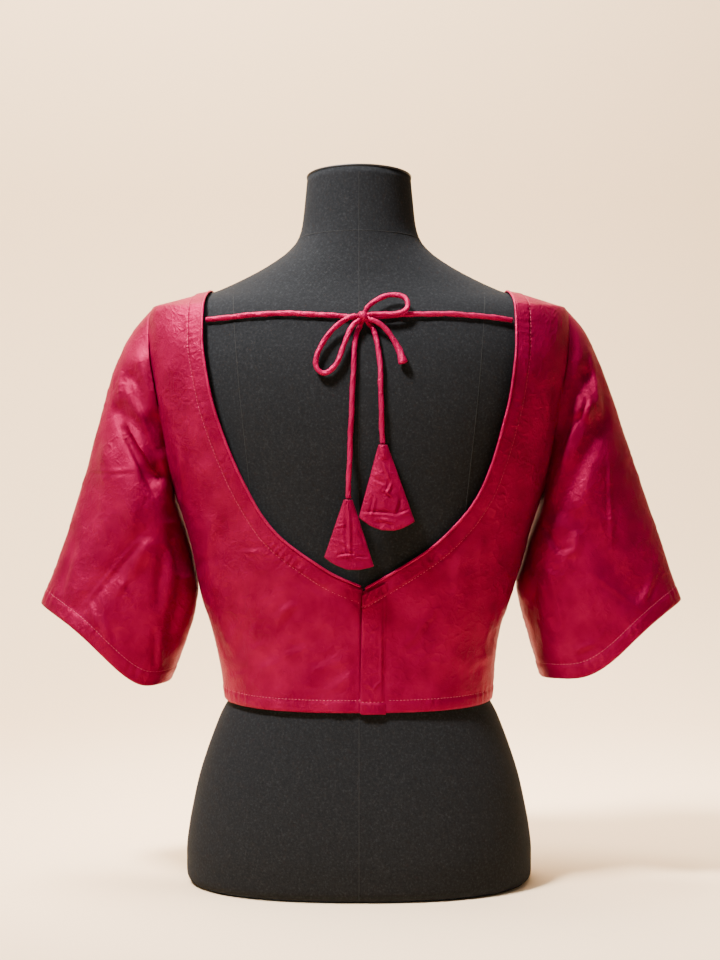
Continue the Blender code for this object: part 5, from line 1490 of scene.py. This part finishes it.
def tassel_grid(name):
    tassel = TASSELS[name]
    down = np.linspace(1.0, 0.0, TASSEL_ROWS + 1)[:, None]
    angle = np.arange(TASSEL_SIDES) * 2.0 * math.pi / TASSEL_SIDES
    run, facing = np.cos(angle)[None, :], np.sin(angle)[None, :]
    left_x = tassel.x - TASSEL_NECK + (tassel.left_x - tassel.x + TASSEL_NECK) * down
    right_x = tassel.x + TASSEL_NECK + (tassel.right_x - tassel.x - TASSEL_NECK) * down
    left_z = tassel.z + (tassel.left_z - tassel.z) * down
    right_z = tassel.z + (tassel.right_z - tassel.z) * down
    x = (left_x + right_x) / 2.0 + (right_x - left_x) / 2.0 * run
    z = (left_z + right_z) / 2.0 + (right_z - left_z) / 2.0 * run
    z = z - tassel.sag * down ** 2 * (1.0 - run ** 2)
    deep = TASSEL_TOP + (tassel.thickness / 2.0 - TASSEL_TOP) * down
    y = tassel.y + deep * np.sign(facing) * np.abs(facing) ** TASSEL_EDGE
    grid = np.stack([x, y, z + 0.0 * facing], axis=-1)
    middle = np.clip(1.0 - np.abs(run) ** 6, 0.0, 1.0)
    relief = crease_height(TASSEL_CREASES[name], x, z + 0.0 * facing)
    relief = relief + 0.00045 * wobble(grid, 0.0075, 71.0) + 0.00040 * crushed(grid, 0.0065, 77.0)
    grid[..., 1] += np.sign(facing) * relief * middle * np.minimum(1.0, 0.35 + down * 1.6)
    wave = 0.0007 * wobble(grid * np.array([1.0, 1.0, 0.2]), 0.0080, 81.0)
    grid[..., 2] += wave * down ** 6
    return grid


for name in TASSELS:
    grid = tassel_grid(name)
    centre = grid.mean(axis=(0, 1))
    mesh = grid_mesh(name + "_cloth", grid, closed=True, outward=lambda a, c=centre: (a - c) * [1, 1, 0])
    pieces[name] = add_thickness(new_object(name + "_cloth", mesh, crimson), 0.0006)
print("tassels:", [round(v * 1000, 1) for v in pieces["tassel_right"].dimensions], "mm")

# %% [markdown]
# ## Stitches
#
# Every facing and hem is held by a row of small running stitches. There are about nine hundred,
# all alike, so a Geometry Nodes tree makes them from a line on the cloth: points at even
# distances, a short rounded thread on each, turned along the line, and a slight random tilt with
# a fixed seed. The lines come from the cloth itself: the places at the band's depth from its edge.

# %% Thread and the stitching tree
thread, thread_shader, nodes, links = new_shader("crimson_thread", (0.52, 0.016, 0.085), 0.5)
thread_shader.inputs["Sheen Weight"].default_value = 0.2
thread_tint = object_noise(nodes, links, "uneven dye", 0.0040, 2.0)
thread_colours = colour_ramp(nodes, "thread colours", (0.35, (0.40, 0.010, 0.055)),
                             (0.70, (0.60, 0.030, 0.115)))
links.new(thread_tint.outputs["Fac"], thread_colours.inputs["Fac"])
links.new(thread_colours.outputs["Color"], thread_shader.inputs["Base Color"])


def stitching_tree():
    tree = bpy.data.node_groups.new("running_stitches", "GeometryNodeTree")
    tree.interface.new_socket("Geometry", in_out="INPUT", socket_type="NodeSocketGeometry")
    for name, value in (("Stitch length", 0.0022), ("Gap", 0.0012), ("Thickness", 0.00044), ("Tilt", 0.10)):
        socket = tree.interface.new_socket(name, in_out="INPUT", socket_type="NodeSocketFloat")
        socket.default_value = value
    seed = tree.interface.new_socket("Seed", in_out="INPUT", socket_type="NodeSocketInt")
    seed.default_value = 3
    tree.interface.new_socket("Thread", in_out="INPUT", socket_type="NodeSocketMaterial")
    tree.interface.new_socket("Geometry", in_out="OUTPUT", socket_type="NodeSocketGeometry")
    nodes, links = tree.nodes, tree.links
    given, made = nodes.new("NodeGroupInput"), nodes.new("NodeGroupOutput")
    step = add_node(nodes, "ShaderNodeMath", "one stitch and its gap", operation="ADD")
    links.new(given.outputs["Stitch length"], step.inputs[0])
    links.new(given.outputs["Gap"], step.inputs[1])
    spots = add_node(nodes, "GeometryNodeCurveToPoints", "stitch places", mode="LENGTH")
    links.new(given.outputs["Geometry"], spots.inputs["Curve"])
    links.new(step.outputs[0], spots.inputs["Length"])
    bead = add_node(nodes, "GeometryNodeMeshUVSphere", "rounded thread", Segments=6, Rings=4, Radius=0.5)
    size = add_node(nodes, "ShaderNodeCombineXYZ", "thread size")
    links.new(given.outputs["Thickness"], size.inputs["X"])
    links.new(given.outputs["Thickness"], size.inputs["Y"])
    links.new(given.outputs["Stitch length"], size.inputs["Z"])
    shaped = add_node(nodes, "GeometryNodeTransform", "long bead")
    links.new(bead.outputs["Mesh"], shaped.inputs["Geometry"])
    links.new(size.outputs[0], shaped.inputs["Scale"])
    placed = add_node(nodes, "GeometryNodeInstanceOnPoints", "one on each place")
    links.new(spots.outputs["Points"], placed.inputs["Points"])
    links.new(shaped.outputs["Geometry"], placed.inputs["Instance"])
    links.new(spots.outputs["Rotation"], placed.inputs["Rotation"])
    lean = add_node(nodes, "FunctionNodeRandomValue", "uneven hand", data_type="FLOAT_VECTOR")
    low = add_node(nodes, "ShaderNodeMath", "lowest tilt", operation="MULTIPLY")
    low.inputs[1].default_value = -1.0
    links.new(given.outputs["Tilt"], low.inputs[0])
    links.new(low.outputs[0], lean.inputs["Min"])
    links.new(given.outputs["Tilt"], lean.inputs["Max"])
    links.new(given.outputs["Seed"], lean.inputs["Seed"])
    turned = add_node(nodes, "GeometryNodeRotateInstances", "tilted a little")
    links.new(placed.outputs["Instances"], turned.inputs["Instances"])
    links.new(lean.outputs["Value"], turned.inputs["Rotation"])
    real = nodes.new("GeometryNodeRealizeInstances")
    links.new(turned.outputs["Instances"], real.inputs["Geometry"])
    finish = nodes.new("GeometryNodeSetMaterial")
    links.new(real.outputs["Geometry"], finish.inputs["Geometry"])
    links.new(given.outputs["Thread"], finish.inputs["Material"])
    links.new(finish.outputs["Geometry"], made.inputs["Geometry"])
    return tree


stitches_from = stitching_tree()
print("inputs:", [item.name for item in stitches_from.interface.items_tree if item.in_out == "INPUT"])

# %% Lines of stitches on the cloth


def contour(grid, gap, depth):
    """The line of places at a distance from an edge: one on each row that reaches across it."""
    line = []
    for points, apart in zip(grid, gap):
        beyond = np.nonzero(apart >= depth)[0]
        if apart[0] < depth and len(beyond):
            k = beyond[0]
            share = (depth - apart[k - 1]) / (apart[k] - apart[k - 1])
            line.append(points[k - 1] + (points[k] - points[k - 1]) * share)
    return np.array(line)


def swapped(grid):
    """The same grid with its rows as columns."""
    return np.swapaxes(grid, 0, 1)


def lifted(line, lift):
    """A line moved out from the body's axis."""
    out = line * np.array([1.0, 1.0, 0.0])
    return line + out / np.linalg.norm(out, axis=1, keepdims=True) * lift


def sew(name, lines, seed):
    """Plain mesh of stitches along lines, made by the tree."""
    curve = bpy.data.curves.new(name, "CURVE")
    curve.dimensions = "3D"
    for line in lines:
        spline_of = curve.splines.new("POLY")
        spline_of.points.add(len(line) - 1)
        spline_of.points.foreach_set("co", np.hstack([line, np.ones((len(line), 1))]).ravel())
    guide = new_object(name + "_line", curve, thread)
    modifier = guide.modifiers.new("running stitches", "NODES")
    modifier.node_group = stitches_from
    inputs = {item.name: item.identifier for item in stitches_from.interface.items_tree
              if item.in_out == "INPUT"}
    modifier[inputs["Seed"]] = seed
    modifier[inputs["Thread"]] = thread
    guide.update_tag()
    bpy.context.view_layer.update()
    evaluated = guide.evaluated_get(bpy.context.evaluated_depsgraph_get())
    mesh = bpy.data.meshes.new_from_object(evaluated)
    mesh.name = name
    bpy.data.objects.remove(guide, do_unlink=True)
    bpy.data.curves.remove(curve)
    made = bpy.data.objects.new(name, mesh)
    bpy.context.scene.collection.objects.link(made)
    mesh.shade_smooth()
    return made


STITCH_LIFT = 0.00008
neck_lines = {
    "back_left": contour(back_left, neck_gap_left, NECK_BAND.depth),
    "back_right": contour(back_right, neck_gap_right, NECK_BAND.depth),
    "front_left": contour(front_halves[-1], front_neck_gap[-1], NECK_BAND.depth),
    "front_right": contour(front_halves[1], front_neck_gap[1], NECK_BAND.depth),
    "placket": contour(swapped(placket_grid[::-1]), swapped(neck_gap[::-1]), NECK_BAND.depth),
}
hem_lines = {
    "back_left": contour(swapped(back_left), swapped(hem_gap_left), HEM_BAND.depth),
    "back_right": contour(swapped(back_right), swapped(hem_gap_right), HEM_BAND.depth),
    "front_left": contour(swapped(front_halves[-1]), swapped(front_hem_gap[-1]), HEM_BAND.depth),
    "front_right": contour(swapped(front_halves[1]), swapped(front_hem_gap[1]), HEM_BAND.depth),
    "placket": contour(swapped(placket_grid), swapped(placket_z - placket_low[None, :]), HEM_BAND.depth),
}
under_placket = fold_x.max() + PLACKET_WIDTH
for lines in (neck_lines, hem_lines):
    lines["back_right"] = lines["back_right"][lines["back_right"][:, 0] > under_placket]
stitch_pieces = [
    sew("neckline_stitches", [lifted(line, STITCH_LIFT) for line in neck_lines.values()], 3),
    sew("hem_stitches", [lifted(line, STITCH_LIFT) for line in hem_lines.values()], 7),
]
for number, (name, grid) in enumerate(sleeve_grids.items()):
    line = contour(swapped(grid[::-1]), swapped(cuff_gaps[name][::-1]), CUFF_BAND.depth)
    middle = line.mean(axis=0)
    away = line - middle
    away /= np.linalg.norm(away, axis=1, keepdims=True)
    line = np.vstack([line, line[:1]]) + np.vstack([away, away[:1]]) * STITCH_LIFT
    stitch_pieces.append(sew("cuff_stitches_" + name, [line], 11 + number))
print("stitches:", {piece.name: len(piece.data.polygons) // 24 for piece in stitch_pieces})

# %% [markdown]
# ## What each piece is
#
# The last step tells the frame what was made. Every piece rides on the one body, stands in for
# a solid of the measured model, and takes a finish from the record. Each sheet gives its flat
# size as made here, and each cord its length, where it leaves the blouse and what it ends in.

# %% Rides and solids
for node, piece in pieces.items():
    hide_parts(node)
for node, piece in [*tie_pieces.items(), *pipings.items()]:
    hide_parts(node)
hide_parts("dress_form")
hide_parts("neck_cap")
made = [*pieces.values(), *tie_pieces.values(), *pipings.values(), *stitch_pieces, cover, cap, *joins]
for piece in made:
    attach(piece, "root")
print("pieces:", len(made))

# %% Sheets and cords
Cut = namedtuple("Cut", "width length area held")
Hold = namedtuple("Hold", "far_end lay on_it")
HOLDS = {
    "tie_strap_left": Hold("knot", "taut", []), "tie_strap_right": Hold("knot", "taut", []),
    "bow_loop_left": Hold("knot", "loose", []), "bow_loop_right": Hold("knot", "loose", []),
    "tie_tail_left": Hold("fitting", "hanging", ["tassel_left_cloth"]),
    "tie_tail_right": Hold("fitting", "hanging", ["tassel_right_cloth"]),
    "tie_tail_short": Hold("bare", "loose", []),
}
for node, hold in HOLDS.items():
    line = route_of[node]
